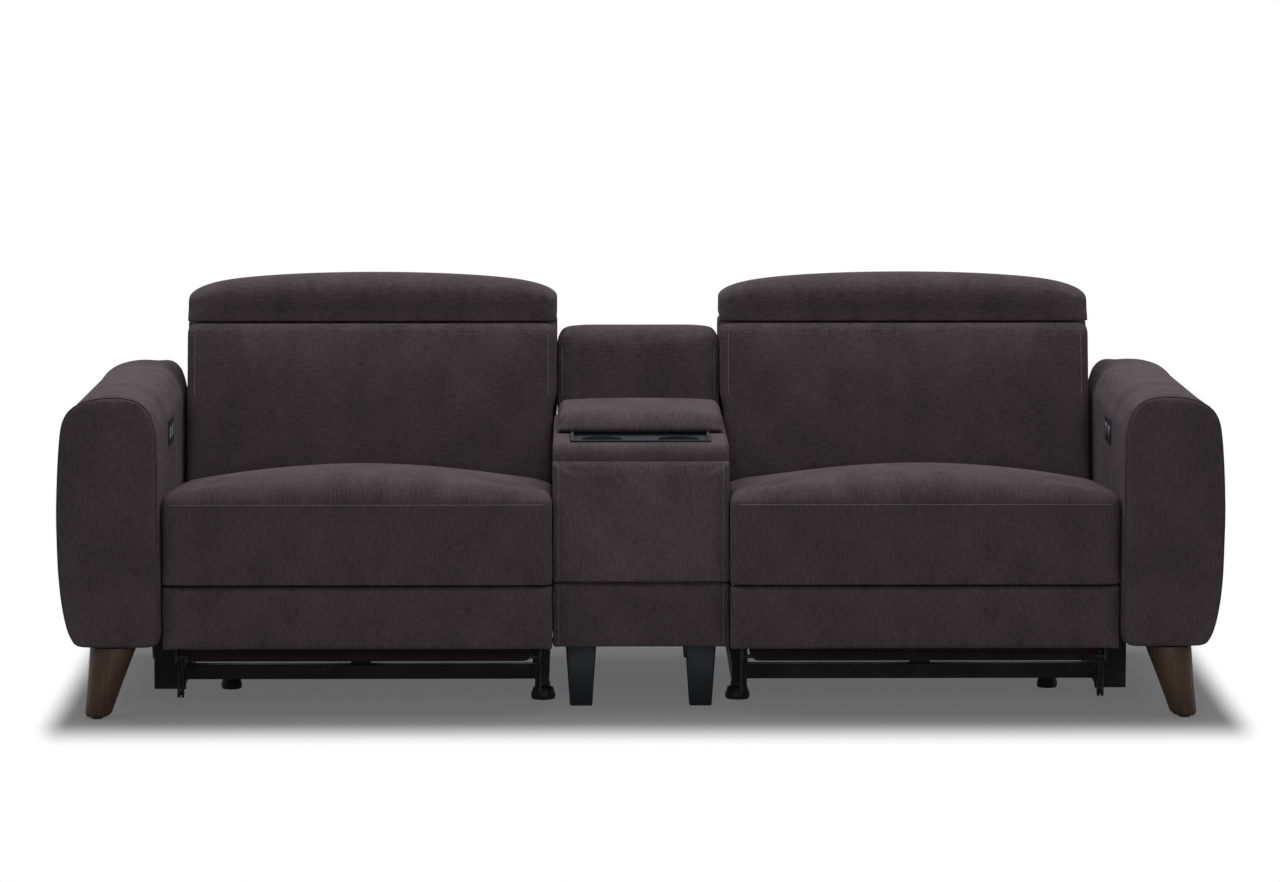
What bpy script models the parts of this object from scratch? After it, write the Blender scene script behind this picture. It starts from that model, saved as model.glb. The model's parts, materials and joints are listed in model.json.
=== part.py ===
"""Two-seat power reclining sofa with a storage console between the seats.

Metres, +Z up, the front faces -Y, the width runs along X and the floor is Z = 0.
Depths are measured from the plane of the arm fronts, heights from the floor.
"""

import math

import bmesh
import bpy
from mathutils import Matrix, Vector

# Widths of the modules and the slit between them.
CONSOLE_WIDTH = 0.357
SEAT_WIDTH = 0.788
ARM_WIDTH = 0.208
MODULE_GAP = 0.003
FIT = 0.0004

# Arms and their legs.
ARM_TOP = 0.654
ARM_BOTTOM = 0.143
ARM_LENGTH = 0.84
ARM_BELLY = 0.5
ARM_ROUND = 0.072
LEG_TOP = 0.095
LEG_FOOT = 0.052
LEG_SPLAY = 0.031
LEG_SETBACK = 0.055
LEG_LEAN = 0.040
REAR_LEG_SETBACK = 0.078

# Seat cushion, with a front roll that hangs below its underside.
SEAT_SETBACK = 0.03
SEAT_DEPTH = 0.555
SEAT_EDGE = 0.460
SEAT_REAR_DROP = 0.022
SEAT_ROUND = 0.034
SEAT_SIDE_DROP = 0.012
SEAT_CROWN = 0.037
SEAT_UNDERSIDE = 0.309
ROLL_BOTTOM = 0.266
ROLL_DEPTH = 0.062

# Footrest panel and the small flap that folds behind it.
PANEL_GAP = 0.005
PANEL_HEIGHT = 0.127
PANEL_DEPTH = 0.036
FLAP_INSET = 0.038
FLAP_DEPTH = 0.024
FLAP_HEIGHT = 0.096
FLAP_DROP = 0.025

# Back cushion, back shell and headrest.
BACK_GAP = 0.006
BACK_BOTTOM = 0.415
BACK_TOP = 0.734
BACK_LEAN = 15.0
BACK_PAD_LOW = 0.143
BACK_PAD_TOP = 0.112
SHELL_TOP_DEPTH = 0.144
SHELL_LOW_DEPTH = 0.085
SHELL_BOTTOM = 0.192
BACK_MARGIN = 0.004
HEAD_HEIGHT = 0.098
HEAD_DEPTH = 0.15
HEAD_GAP = 0.012
HEAD_ARCH = 0.052

# Console.
CONSOLE_SETBACK = 0.10
CONSOLE_BOTTOM = 0.13
CONSOLE_TOP = 0.546
CONSOLE_RISE_START = 0.655
CONSOLE_BACK_INSET = 0.0075
LID_LENGTH = 0.27
LID_HEIGHT = 0.050
LID_INSET = 0.006
TRAY_LENGTH = 0.172
TRAY_WIDTH = 0.286
TRAY_START = 0.036
CUP_RADIUS = 0.043
CUP_DEPTH = 0.068
STORE_DEPTH = 0.22
CONSOLE_LEG_TOP = 0.063
CONSOLE_LEG_FOOT = 0.046

# Steel mechanism, across each seat from the outside in.
RAIL_INSET = 0.007
RAIL_WIDTH = 0.025
RAIL_BOTTOM = 0.035
RAIL_HEIGHT = 0.04
TUBE = 0.030
TUBE_BOTTOM = 0.049
LINK_THICK = 0.006
LINK_PLAY = 0.003
PIN = 0.005
PIN_PLAY = 0.0006
SWING_LEAN = 18.0
SWING_PIVOT = 0.055
HANGER_PIVOT = 0.235
FRONT_SWING = 0.22
SWING_SPACING = 0.21
FRAME_HEIGHT = 0.036
FRAME_RAIL = 0.034

# Footrest scissor: half length of a bar, folded angles, and where its first pivot sits.
ARM_HALF = 0.10
BAR_WIDTH = 0.020
FOLD_LONG = 4.0
FOLD_CROSS = 24.0
SCISSOR_SETBACK = 0.11
SCISSOR_DROP = 0.034

# Back hinge, measured from the lower front edge of the back cushion.
HIP_BEHIND = 0.065
HIP_BELOW = 0.06

# Control panel on the inner side of each arm.
CONTROL_LENGTH = 0.11
CONTROL_HEIGHT = 0.052
CONTROL_SETBACK = 0.265
CONTROL_LEVEL = 0.549
ROCKER_LENGTH = 0.032
ROCKER_HEIGHT = 0.022
ROCKER_AXLE = 0.0015
ROCKER_AXLE_REACH = 0.0045

# Linear drive under each seat.
DRIVE_WIDTH = 0.04
DRIVE_HEIGHT = 0.03
MOTOR_WIDTH = 0.084
MOTOR_HEIGHT = 0.038
MOTOR_LENGTH = 0.078
GEAR_RADIUS = 0.017
GEAR_LENGTH = 0.065
CARRIAGE_LENGTH = 0.06
CARRIAGE_WALL = 0.0074
FORK_WALL = 0.0073
FORK_PLAY = 0.0012
SWING_TUBE = 0.010

# Tray and lid hinge of the console.
TRAY_FLOOR = 0.010
TRAY_SINK = 0.004
TRAY_LIP = 0.004
TRAY_RIM = 0.010
TRAY_EDGE = 0.006
CUP_WALL = 0.003
NOTCH_LENGTH = 0.046
HINGE_BARREL = 0.0041
HINGE_PIN = 0.002

# Derived positions across the width, for the right-hand seat.
console_half = CONSOLE_WIDTH / 2
seat_in = console_half + MODULE_GAP
seat_out = seat_in + SEAT_WIDTH
seat_mid = (seat_in + seat_out) / 2
seat_half = SEAT_WIDTH / 2
arm_in = seat_out + MODULE_GAP
arm_out = arm_in + ARM_WIDTH
rail_out = seat_half - RAIL_INSET
rail_in = rail_out - RAIL_WIDTH
swing_out = rail_in - LINK_PLAY
swing_in = swing_out - LINK_THICK
hanger_out = swing_in - LINK_PLAY
hanger_in = hanger_out - LINK_THICK
scissor_hanger_in = seat_half - 0.019
long_out = scissor_hanger_in - LINK_PLAY
long_in = long_out - LINK_THICK + 0.001
cross_out = long_in - LINK_PLAY
cross_in = cross_out - LINK_THICK + 0.001
flap_half = seat_half - FLAP_INSET

# Derived depths and heights.
seat_rear = SEAT_SETBACK + SEAT_DEPTH
back_foot = seat_rear + BACK_GAP
back_rise = BACK_TOP - BACK_BOTTOM
back_head = back_foot + back_rise * math.tan(math.radians(BACK_LEAN))
pad_foot_rear = back_foot + BACK_PAD_LOW
pad_head_rear = back_head + BACK_PAD_TOP
shell_head_rear = pad_head_rear + SHELL_TOP_DEPTH
shell_foot_rear = pad_foot_rear + SHELL_LOW_DEPTH
leg_front = LEG_SETBACK - LEG_LEAN - LEG_FOOT / 2
FRONT = -(shell_head_rear + min(0.0, leg_front)) / 2
panel_top = ROLL_BOTTOM - PANEL_GAP
panel_bottom = panel_top - PANEL_HEIGHT
panel_rear = SEAT_SETBACK + PANEL_DEPTH
frame_top = SEAT_UNDERSIDE - FIT
frame_bottom = frame_top - FRAME_HEIGHT
hip = (back_foot + HIP_BEHIND, BACK_BOTTOM - HIP_BELOW)
swing_length = (HANGER_PIVOT - SWING_PIVOT) / math.cos(math.radians(SWING_LEAN))
swing_half_travel = swing_length * math.sin(math.radians(SWING_LEAN))
front_base = (SEAT_SETBACK + FRONT_SWING, SWING_PIVOT)
rear_base = (front_base[0] + SWING_SPACING, SWING_PIVOT)
front_top = (front_base[0] + swing_half_travel, HANGER_PIVOT)
rear_top = (rear_base[0] + swing_half_travel, HANGER_PIVOT)
tube_front = front_base[0] - 0.06
tube_rear = seat_rear + 0.065
head_pivot = (back_head + 0.022, BACK_TOP + HEAD_GAP * 0.46)


def along(point, angle, length):
    """The point that lies `length` away, `angle` degrees forward of straight up."""
    turn = math.radians(angle)
    return (point[0] - length * math.sin(turn), point[1] + length * math.cos(turn))


foot_pivot = (SEAT_SETBACK + SCISSOR_SETBACK, ROLL_BOTTOM - SCISSOR_DROP)
cross_pivot = along(foot_pivot, 180 - FOLD_LONG, ARM_HALF)
long_end = along(foot_pivot, 180 - FOLD_LONG, 2 * ARM_HALF)
cross_end = along(cross_pivot, FOLD_CROSS, ARM_HALF)
cross_tail = along(cross_pivot, FOLD_CROSS, -ARM_HALF)
panel_pivot = along(long_end, FOLD_CROSS, ARM_HALF)
flap_pivot = (panel_rear + 0.006, panel_bottom - FLAP_DROP + 0.006)

for old in list(bpy.data.objects):
    bpy.data.objects.remove(old, do_unlink=True)

LOOKS = {
    "fabric": ((0.060, 0.050, 0.053), 0.9, 0.0),
    "lining": ((0.012, 0.011, 0.012), 0.95, 0.0),
    "walnut": ((0.045, 0.026, 0.017), 0.45, 0.0),
    "dark_wood": ((0.014, 0.014, 0.016), 0.5, 0.0),
    "black_steel": ((0.010, 0.010, 0.011), 0.45, 0.6),
    "plastic": ((0.020, 0.020, 0.024), 0.5, 0.0),
    "silver": ((0.55, 0.55, 0.56), 0.3, 1.0),
    "rubber": ((0.012, 0.012, 0.012), 0.85, 0.0),
}


def solid(shape):
    """Closes a bmesh into a mesh whose faces look outward."""
    bmesh.ops.remove_doubles(shape, verts=shape.verts, dist=1e-6)
    bmesh.ops.recalc_face_normals(shape, faces=shape.faces)
    mesh = bpy.data.meshes.new("solid")
    shape.to_mesh(mesh)
    shape.free()
    return mesh


def block(low, high):
    """A box between two corners given as (x, depth, z)."""
    shape = bmesh.new()
    bmesh.ops.create_cube(shape, size=1.0)
    size = [b - a for a, b in zip(low, high)]
    middle = Vector([(a + b) / 2 for a, b in zip(low, high)]) + Vector((0, FRONT, 0))
    bmesh.ops.scale(shape, vec=size, verts=shape.verts)
    bmesh.ops.translate(shape, vec=middle, verts=shape.verts)
    return solid(shape)


def shaft(radius, start, end, sides=12, end_radius=None):
    """A round bar or cone between two points given as (x, depth, z)."""
    shape = bmesh.new()
    low = Vector(start) + Vector((0, FRONT, 0))
    high = Vector(end) + Vector((0, FRONT, 0))
    axis = high - low
    place = Matrix.Translation((low + high) / 2) @ axis.to_track_quat("Z", "Y").to_matrix().to_4x4()
    bmesh.ops.create_cone(
        shape,
        cap_ends=True,
        segments=sides,
        radius1=radius,
        radius2=radius if end_radius is None else end_radius,
        depth=axis.length,
        matrix=place,
    )
    return solid(shape)


def cross_pin(radius, centre, low, high, sides=10):
    """A pin along X about a (depth, z) centre."""
    return shaft(radius, (low, *centre), (high, *centre), sides)


def loft(rings):
    """A closed solid through matching rings of points, capped at both ends."""
    shape = bmesh.new()
    verts = [shape.verts.new(point) for point in rings[0]]
    face = shape.faces.new(verts)
    for step, ring in enumerate(rings[1:]):
        order = {tuple(vert.co): place for place, vert in enumerate(verts)}
        grown = bmesh.ops.extrude_face_region(shape, geom=[face])["geom"]
        if step > 0 and face.is_valid:
            bmesh.ops.delete(shape, geom=[face], context="FACES_ONLY")
        face = [item for item in grown if isinstance(item, bmesh.types.BMFace)][0]
        verts = sorted(face.verts, key=lambda vert: order[tuple(vert.co)])
        for vert, point in zip(verts, ring):
            vert.co = point
    return solid(shape)


def plate(outline, low, high):
    """A flat (depth, z) outline with a thickness along X."""
    return loft([[(x, FRONT + v, z) for v, z in outline] for x in (low, high)])


def rounded(points, radii, steps=2):
    """A closed outline whose corners are arcs of the given radii."""
    outline = []
    count = len(points)
    for place, (point, radius) in enumerate(zip(points, radii)):
        corner = Vector(point)
        before = Vector(points[place - 1]) - corner
        after = Vector(points[(place + 1) % count]) - corner
        if radius <= 0:
            outline.append(tuple(corner))
            continue
        half = before.angle(after) / 2
        reach = min(radius / math.tan(half), 0.48 * before.length, 0.48 * after.length)
        bend = reach * math.tan(half)
        middle = (before.normalized() + after.normalized()).normalized()
        centre = corner + middle * (bend / math.sin(half))
        first = corner + before.normalized() * reach - centre
        last = corner + after.normalized() * reach - centre
        start = math.atan2(first.y, first.x)
        sweep = math.atan2(last.y, last.x) - start
        sweep = (sweep + math.pi) % (2 * math.pi) - math.pi
        for step in range(steps + 1):
            turn = start + sweep * step / steps
            outline.append((centre.x + bend * math.cos(turn), centre.y + bend * math.sin(turn)))
    return outline


def bar(start, end, width, steps=4):
    """The outline of a flat link with round ends."""
    line = Vector(end) - Vector(start)
    base = math.atan2(line.y, line.x)
    outline = []
    for centre, turn in ((start, base + math.pi / 2), (end, base - math.pi / 2)):
        for step in range(steps + 1):
            angle = turn + math.pi * step / steps
            outline.append(
                (centre[0] + width / 2 * math.cos(angle), centre[1] + width / 2 * math.sin(angle))
            )
    return outline


def flipped(mesh, about):
    """A mirror copy across the plane x = about."""
    shape = bmesh.new()
    shape.from_mesh(mesh)
    for vert in shape.verts:
        vert.co.x = 2 * about - vert.co.x
    bmesh.ops.reverse_faces(shape, faces=shape.faces)
    return solid(shape)


def both(mesh):
    """A solid and its mirror image on the other side of the seat."""
    return [mesh, flipped(mesh, seat_mid)]


def stand(mesh):
    piece = bpy.data.objects.new("stand", mesh)
    bpy.context.collection.objects.link(piece)
    return piece


def combined(solids, cuts=()):
    """One mesh from several solids, with the cutters taken away."""
    base = stand(solids[0])
    tools = []
    for operation, meshes in (("UNION", solids[1:]), ("DIFFERENCE", cuts)):
        for mesh in meshes:
            tool = stand(mesh)
            tool.hide_render = True
            tool.display_type = "WIRE"
            join = base.modifiers.new("join", "BOOLEAN")
            join.operation = operation
            join.solver = "EXACT"
            join.object = tool
            tools.append(tool)
    evaluated = base.evaluated_get(bpy.context.evaluated_depsgraph_get())
    shape = bmesh.new()
    shape.from_mesh(bpy.data.meshes.new_from_object(evaluated))
    for piece in [base, *tools]:
        bpy.data.objects.remove(piece, do_unlink=True)
    bmesh.ops.dissolve_limit(
        shape, angle_limit=0.002, verts=shape.verts, edges=shape.edges, delimit=set()
    )
    bmesh.ops.triangulate(shape, faces=shape.faces)
    return solid(shape)


def body(name, pivot, parent=None):
    """An empty on a joint's axis, given as (x, depth, z), that carries the pieces of one moving body."""
    carrier = bpy.data.objects.new(name, None)
    bpy.context.collection.objects.link(carrier)
    place = Vector(pivot) + Vector((0, FRONT, 0))
    carrier["axis_point"] = list(place)
    carrier.parent = parent
    carrier.location = place - (Vector(parent["axis_point"]) if parent else Vector())
    return carrier


def add(name, mesh, look, carrier=None):
    """Names a finished solid and gives it its own material and its body."""
    mesh = mesh.copy()
    if carrier:
        mesh.transform(Matrix.Translation(-Vector(carrier["axis_point"])))
    mesh.name = name
    piece = bpy.data.objects.new(name, mesh)
    bpy.context.collection.objects.link(piece)
    piece.parent = carrier
    coat = bpy.data.materials.new(name)
    coat.use_nodes = True
    shader = coat.node_tree.nodes["Principled BSDF"]
    colour, roughness, metal = LOOKS[look]
    shader.inputs["Base Color"].default_value = (*colour, 1.0)
    shader.inputs["Roughness"].default_value = roughness
    shader.inputs["Metallic"].default_value = metal
    mesh.materials.clear()
    mesh.materials.append(coat)
    return piece


def stations(low, high, end_round, count):
    """Places along a cushion with the amount by which its section draws in at each end."""
    places = [(low, end_round * 0.9), (low + 0.3 * end_round, 0.25 * end_round), (low + end_round, 0.0)]
    for step in range(1, count):
        places.append((low + end_round + (high - low - 2 * end_round) * step / count, 0.0))
    places += [(low + high - x, draw) for x, draw in reversed(places[:3])]
    return places


def cushion(outline, low, high, end_round, count, shape_of):
    """A padded form: a (depth, z) outline carried along X, drawn in at the ends.

    shape_of(u, v, z) moves an outline point at the place u, which runs from -1 to 1.
    """
    middle_v = (min(v for v, z in outline) + max(v for v, z in outline)) / 2
    middle_z = (min(z for v, z in outline) + max(z for v, z in outline)) / 2
    reach_v = max(v for v, z in outline) - middle_v
    reach_z = max(z for v, z in outline) - middle_z
    rings = []
    for x, draw in stations(low, high, end_round, count):
        u = (2 * x - low - high) / (high - low)
        ring = []
        for v, z in outline:
            new_v, new_z = shape_of(u, v, z)
            new_v = middle_v + (new_v - middle_v) * (1 - draw / reach_v)
            new_z = middle_z + (new_z - middle_z) * (1 - draw / reach_z)
            ring.append((x, FRONT + new_v, new_z))
        rings.append(ring)
    return loft(rings)


def arm_mesh():
    """The arm: an arched, bellied section carried from front to rear, with a pocket for the controls."""
    level = (ARM_TOP + ARM_BOTTOM) / 2
    outer = []
    for step in range(6):
        z = ARM_BOTTOM + 0.012 + (ARM_TOP - ARM_BOTTOM - 0.012 - ARM_ROUND) * step / 5
        outer.append((arm_out - ARM_BELLY * (z - level) ** 2, z))
    shoulder = outer[-1][0] - ARM_ROUND
    arch = []
    for step in range(1, 6):
        turn = math.radians(90 * step / 5)
        arch.append((shoulder + ARM_ROUND * math.cos(turn), ARM_TOP - ARM_ROUND * (1 - math.sin(turn))))
    inner = []
    for step in range(5):
        turn = math.radians(90 + 90 * step / 4)
        inner.append(
            (arm_in + ARM_ROUND + ARM_ROUND * math.cos(turn), ARM_TOP - ARM_ROUND * (1 - math.sin(turn)))
        )
    foot = [(arm_in, ARM_BOTTOM + 0.010), (arm_in + 0.010, ARM_BOTTOM), (outer[0][0] - 0.014, ARM_BOTTOM)]
    outline = outer + arch + inner + foot
    middle = (arm_in + arm_out) / 2
    rings = []
    for v, draw in ((0, 0.008), (0.004, 0.002), (0.014, 0), (ARM_LENGTH - 0.02, 0), (ARM_LENGTH, 0.014)):
        ring = []
        for x, z in outline:
            drawn_x = middle + (x - middle) * (1 - draw / (ARM_WIDTH / 2))
            drawn_z = level + (z - level) * (1 - draw / (level - ARM_BOTTOM))
            ring.append((drawn_x, FRONT + v, max(drawn_z, ARM_BOTTOM) if z > ARM_BOTTOM else ARM_BOTTOM))
        rings.append(ring)
    pocket = block(
        (arm_in - 0.01, CONTROL_SETBACK, CONTROL_LEVEL - CONTROL_HEIGHT / 2),
        (arm_in + 0.014, CONTROL_SETBACK + CONTROL_LENGTH, CONTROL_LEVEL + CONTROL_HEIGHT / 2),
    )
    return combined([loft(rings)], [pocket])


def splayed_leg(v_top, v_foot):
    """A round tapered leg that leans outward, on a small glide."""
    top = Vector(((arm_in + arm_out) / 2 - 0.006, v_top))
    foot = Vector((top.x + LEG_SPLAY, v_foot))
    rings = []
    for share, lift in ((0.0, 0.005), (0.08, None), (0.55, None), (1.0, None)):
        z = lift if lift else ARM_BOTTOM * share
        z = ARM_BOTTOM - FIT if share == 1.0 else z
        centre = foot.lerp(top, share)
        radius = (LEG_FOOT + (LEG_TOP - LEG_FOOT) * share ** 1.15) / 2
        radius = radius - 0.004 if share == 0.0 else radius
        ring = []
        for step in range(16):
            turn = 2 * math.pi * step / 16
            ring.append((centre.x + radius * math.cos(turn), FRONT + centre.y + radius * math.sin(turn), z))
        rings.append(ring)
    glide = shaft(0.0115, (foot.x, foot.y, 0), (foot.x, foot.y, 0.006), 12)
    return combined([loft(rings), glide])


def control_mesh():
    """The switch plate, with an opening for each rocker."""
    low = CONTROL_LEVEL - CONTROL_HEIGHT / 2 + FIT
    high = CONTROL_LEVEL + CONTROL_HEIGHT / 2 - FIT
    face = arm_in - 0.0022
    body_mesh = block(
        (face, CONTROL_SETBACK + FIT, low),
        (arm_in + 0.014 - FIT, CONTROL_SETBACK + CONTROL_LENGTH - FIT, high),
    )
    wells = []
    for v in rocker_places():
        wells.append(
            block(
                (face - 0.01, v - ROCKER_LENGTH / 2 - 0.001, CONTROL_LEVEL - ROCKER_HEIGHT / 2 - 0.001),
                (face + 0.011, v + ROCKER_LENGTH / 2 + 0.001, CONTROL_LEVEL + ROCKER_HEIGHT / 2 + 0.001),
            )
        )
        reach = ROCKER_HEIGHT / 2 + ROCKER_AXLE_REACH + FIT
        low_end = (arm_in + 0.002, v, CONTROL_LEVEL - reach)
        wells.append(shaft(ROCKER_AXLE + FIT, low_end, (arm_in + 0.002, v, CONTROL_LEVEL + reach), 8))
    return combined([body_mesh], wells)


def rocker_places():
    """Depths of the two rockers."""
    middle = CONTROL_SETBACK + CONTROL_LENGTH / 2
    return (middle - CONTROL_LENGTH / 4, middle + CONTROL_LENGTH / 4)


def rocker_mesh(v):
    """A rocker key whose back is cut away so that it can tip about its middle."""
    face = arm_in - 0.0022
    half = ROCKER_LENGTH / 2
    outline = [
        (v - half, face - 0.0022),
        (v, face - 0.0012),
        (v + half, face - 0.0022),
        (v + half - 0.001, face + 0.004),
        (v + 0.003, face + 0.0085),
        (v - 0.003, face + 0.0085),
        (v - half + 0.001, face + 0.004),
    ]
    rings = []
    for z in (CONTROL_LEVEL - ROCKER_HEIGHT / 2, CONTROL_LEVEL + ROCKER_HEIGHT / 2):
        rings.append([(x, FRONT + depth, z) for depth, x in outline])
    reach = ROCKER_HEIGHT / 2 + ROCKER_AXLE_REACH
    low_end = (arm_in + 0.002, v, CONTROL_LEVEL - reach)
    axle = shaft(ROCKER_AXLE, low_end, (arm_in + 0.002, v, CONTROL_LEVEL + reach), 8)
    return combined([loft(rings), axle])


def base_frame_mesh():
    """Two floor rails, two cross tubes and the feet that bolt to the arm and the console."""
    rail_top = RAIL_BOTTOM + RAIL_HEIGHT
    tube_top = TUBE_BOTTOM + TUBE
    parts = []
    for low, high in ((-rail_out, -rail_in), (rail_in, rail_out)):
        parts.append(
            block(
                (seat_mid + low, tube_front, RAIL_BOTTOM),
                (seat_mid + high, tube_rear + TUBE, rail_top),
            )
        )
    for v in (tube_front, tube_rear):
        parts.append(
            block(
                (seat_mid - rail_in - 0.004, v, TUBE_BOTTOM),
                (seat_mid + rail_in + 0.004, v + TUBE, tube_top),
            )
        )
    for v in (tube_front, tube_rear - 0.010):
        parts.append(
            block(
                (seat_mid + rail_in, v, RAIL_BOTTOM - 0.006),
                (arm_in + 0.028, v + 0.005, ARM_BOTTOM - FIT),
            )
        )
        parts.append(
            block(
                (seat_mid + rail_in, v, ARM_BOTTOM - FIT - 0.006),
                (arm_in + 0.028, v + 0.04, ARM_BOTTOM - FIT),
            )
        )
        parts.append(
            block(
                (seat_mid - rail_out, v, rail_top - 0.004),
                (seat_mid - rail_in, v + 0.005, CONSOLE_BOTTOM - FIT),
            )
        )
        parts.append(
            block(
                (console_half - 0.020, v, CONSOLE_BOTTOM - FIT - 0.006),
                (seat_mid - rail_in, v + 0.04, CONSOLE_BOTTOM - FIT),
            )
        )
    outer_v = outer_glide_place()[1]
    parts.append(
        block(
            (outer_glide_place()[0] - 0.018, outer_v - 0.018, RAIL_BOTTOM),
            (seat_mid + rail_in + 0.004, outer_v + 0.018, RAIL_BOTTOM + 0.012),
        )
    )
    holes = []
    for pivot in (front_base, rear_base):
        holes += both(
            cross_pin(PIN + PIN_PLAY, pivot, seat_mid + rail_in - 0.01, seat_mid + rail_in + 0.018)
        )
    return combined(parts, holes)


def inner_glide_place():
    return (seat_mid - (rail_in + rail_out) / 2, tube_front + 0.05)


def outer_glide_place():
    return (seat_mid + rail_in - 0.083, front_base[0] + 0.12)


def glide_mesh(place, radius):
    """A floor glide: a wide foot under a narrower neck."""
    profile = ((0.92, 0.0), (1.0, 0.008), (0.8, 0.024), (0.55, 0.026), (0.55, RAIL_BOTTOM - FIT))
    rings = []
    for share, z in profile:
        ring = []
        for step in range(16):
            turn = 2 * math.pi * step / 16
            x = place[0] + share * radius * math.cos(turn)
            ring.append((x, FRONT + place[1] + share * radius * math.sin(turn), z))
        rings.append(ring)
    return loft(rings)


def swing_mesh(base, top):
    """Two swing links joined by a torque tube halfway up."""
    links = both(plate(bar(base, top, BAR_WIDTH + 0.004), seat_mid + swing_in, seat_mid + swing_out))
    middle = ((base[0] + top[0]) / 2, (base[1] + top[1]) / 2)
    reach = swing_in + LINK_THICK / 2
    tube = cross_pin(SWING_TUBE, middle, seat_mid - reach, seat_mid + reach, 12)
    pins = both(cross_pin(PIN, base, seat_mid + swing_in + 0.001, seat_mid + rail_in + 0.016))
    pins += both(cross_pin(PIN, top, seat_mid + hanger_in + 0.001, seat_mid + swing_out - 0.001))
    return combined([*links, tube, *pins])


def seat_frame_mesh():
    """The steel seat frame with its hangers, scissor brackets and back hinge brackets."""
    rail_low = hanger_in - 0.006
    rail_high = rail_low + FRAME_RAIL
    front = foot_pivot[0] - 0.030
    rear = seat_rear + 0.075
    parts = [
        block(
            (seat_mid - scissor_hanger_in - 0.005, front, frame_bottom),
            (seat_mid + scissor_hanger_in + 0.005, front + 0.04, frame_top),
        ),
        block((seat_mid - rail_high, rear - 0.04, frame_bottom), (seat_mid + rail_high, rear, frame_top)),
    ]
    parts += both(
        block((seat_mid + rail_low, front + 0.01, frame_bottom), (seat_mid + rail_high, rear, frame_top))
    )
    for top in (front_top, rear_top):
        lug = rounded(
            [
                (top[0] - 0.03, frame_bottom + 0.01),
                (top[0] - 0.014, top[1] - 0.014),
                (top[0] + 0.014, top[1] - 0.014),
                (top[0] + 0.03, frame_bottom + 0.01),
            ],
            [0, 0.012, 0.012, 0],
        )
        parts += both(plate(lug, seat_mid + hanger_in, seat_mid + hanger_out))
    bracket = rounded(
        [
            (front + 0.002, frame_bottom + 0.012),
            (foot_pivot[0] - 0.013, foot_pivot[1] - 0.013),
            (foot_pivot[0] + 0.013, foot_pivot[1] - 0.013),
            (foot_pivot[0] + 0.010, frame_bottom + 0.012),
        ],
        [0, 0.011, 0.011, 0],
    )
    parts += both(plate(bracket, seat_mid + scissor_hanger_in, seat_mid + scissor_hanger_in + 0.005))
    arm = rounded(
        [
            (rear - 0.09, frame_bottom + 0.006),
            (rear - 0.002, frame_bottom + 0.006),
            (hip[0] + 0.021, hip[1] + 0.020),
            (hip[0] - 0.021, hip[1] + 0.020),
        ],
        [0, 0, 0.018, 0.018],
    )
    parts += both(plate(arm, seat_mid + hanger_in, seat_mid + hanger_out))
    holes = []
    for pivot in (front_top, rear_top, hip):
        holes += both(
            cross_pin(PIN + PIN_PLAY, pivot, seat_mid + hanger_in - 0.01, seat_mid + hanger_out + 0.002)
        )
    holes += both(
        cross_pin(
            PIN + PIN_PLAY,
            foot_pivot,
            seat_mid + scissor_hanger_in - 0.002,
            seat_mid + scissor_hanger_in + 0.01,
        )
    )
    return combined(parts, holes)


def seat_cushion_mesh():
    """The seat: crowned on top, with its front roll hanging down over the mechanism."""
    roll_rear = SEAT_SETBACK + ROLL_DEPTH
    corners = [
        (SEAT_SETBACK, ROLL_BOTTOM),
        (SEAT_SETBACK, SEAT_EDGE),
        (seat_rear, SEAT_EDGE - SEAT_REAR_DROP),
        (seat_rear, SEAT_UNDERSIDE),
        (roll_rear, SEAT_UNDERSIDE),
        (roll_rear, ROLL_BOTTOM),
    ]
    outline = rounded(corners, [0.018, SEAT_ROUND, 0.03, 0, 0, 0.018])
    front = max(range(len(outline)), key=lambda place: outline[place][1])
    extra = []
    for step in range(1, 5):
        share = step / 5
        depth = SEAT_SETBACK + SEAT_ROUND + (SEAT_DEPTH - 2 * SEAT_ROUND) * share
        extra.append((depth, SEAT_EDGE - SEAT_REAR_DROP * share))
    outline = outline[: front + 1] + extra + outline[front + 1 :]

    def shape_of(u, v, z):
        share = (v - SEAT_SETBACK) / SEAT_DEPTH
        lift = max(0.0, (z - SEAT_UNDERSIDE) / (SEAT_EDGE - SEAT_UNDERSIDE))
        swell = math.sin(math.pi * min(1.0, 0.28 + 0.60 * share))
        crown = SEAT_CROWN * (1 - abs(u) ** 1.9) * swell
        sides = SEAT_SIDE_DROP * abs(u) ** 4
        forward = 0.006 * (1 - u ** 4) * math.sin(math.pi * max(0.0, min(1.0, (z - ROLL_BOTTOM) / 0.16)))
        nose = forward * max(0.0, 1 - (v - SEAT_SETBACK) / 0.05)
        return v - nose * 0.5, z + lift * (crown - sides)

    return cushion(outline, seat_in + FIT, seat_out - FIT, 0.02, 8, shape_of)


def panel_mesh():
    """The footrest panel."""
    outline = rounded(
        [
            (SEAT_SETBACK, panel_bottom),
            (SEAT_SETBACK, panel_top),
            (panel_rear, panel_top),
            (panel_rear, panel_bottom),
        ],
        [0.012, 0.014, 0.010, 0.006],
        3,
    )
    outline.insert(4, (SEAT_SETBACK, (panel_top + panel_bottom) / 2))

    def shape_of(u, v, z):
        share = (z - panel_bottom) / PANEL_HEIGHT
        front = max(0.0, (panel_rear - v) / PANEL_DEPTH - 0.5)
        return v - 0.004 * front * (1 - u ** 6) * math.sin(math.pi * share), z

    return cushion(outline, seat_in + FIT, seat_out - FIT, 0.012, 4, shape_of)


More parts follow.
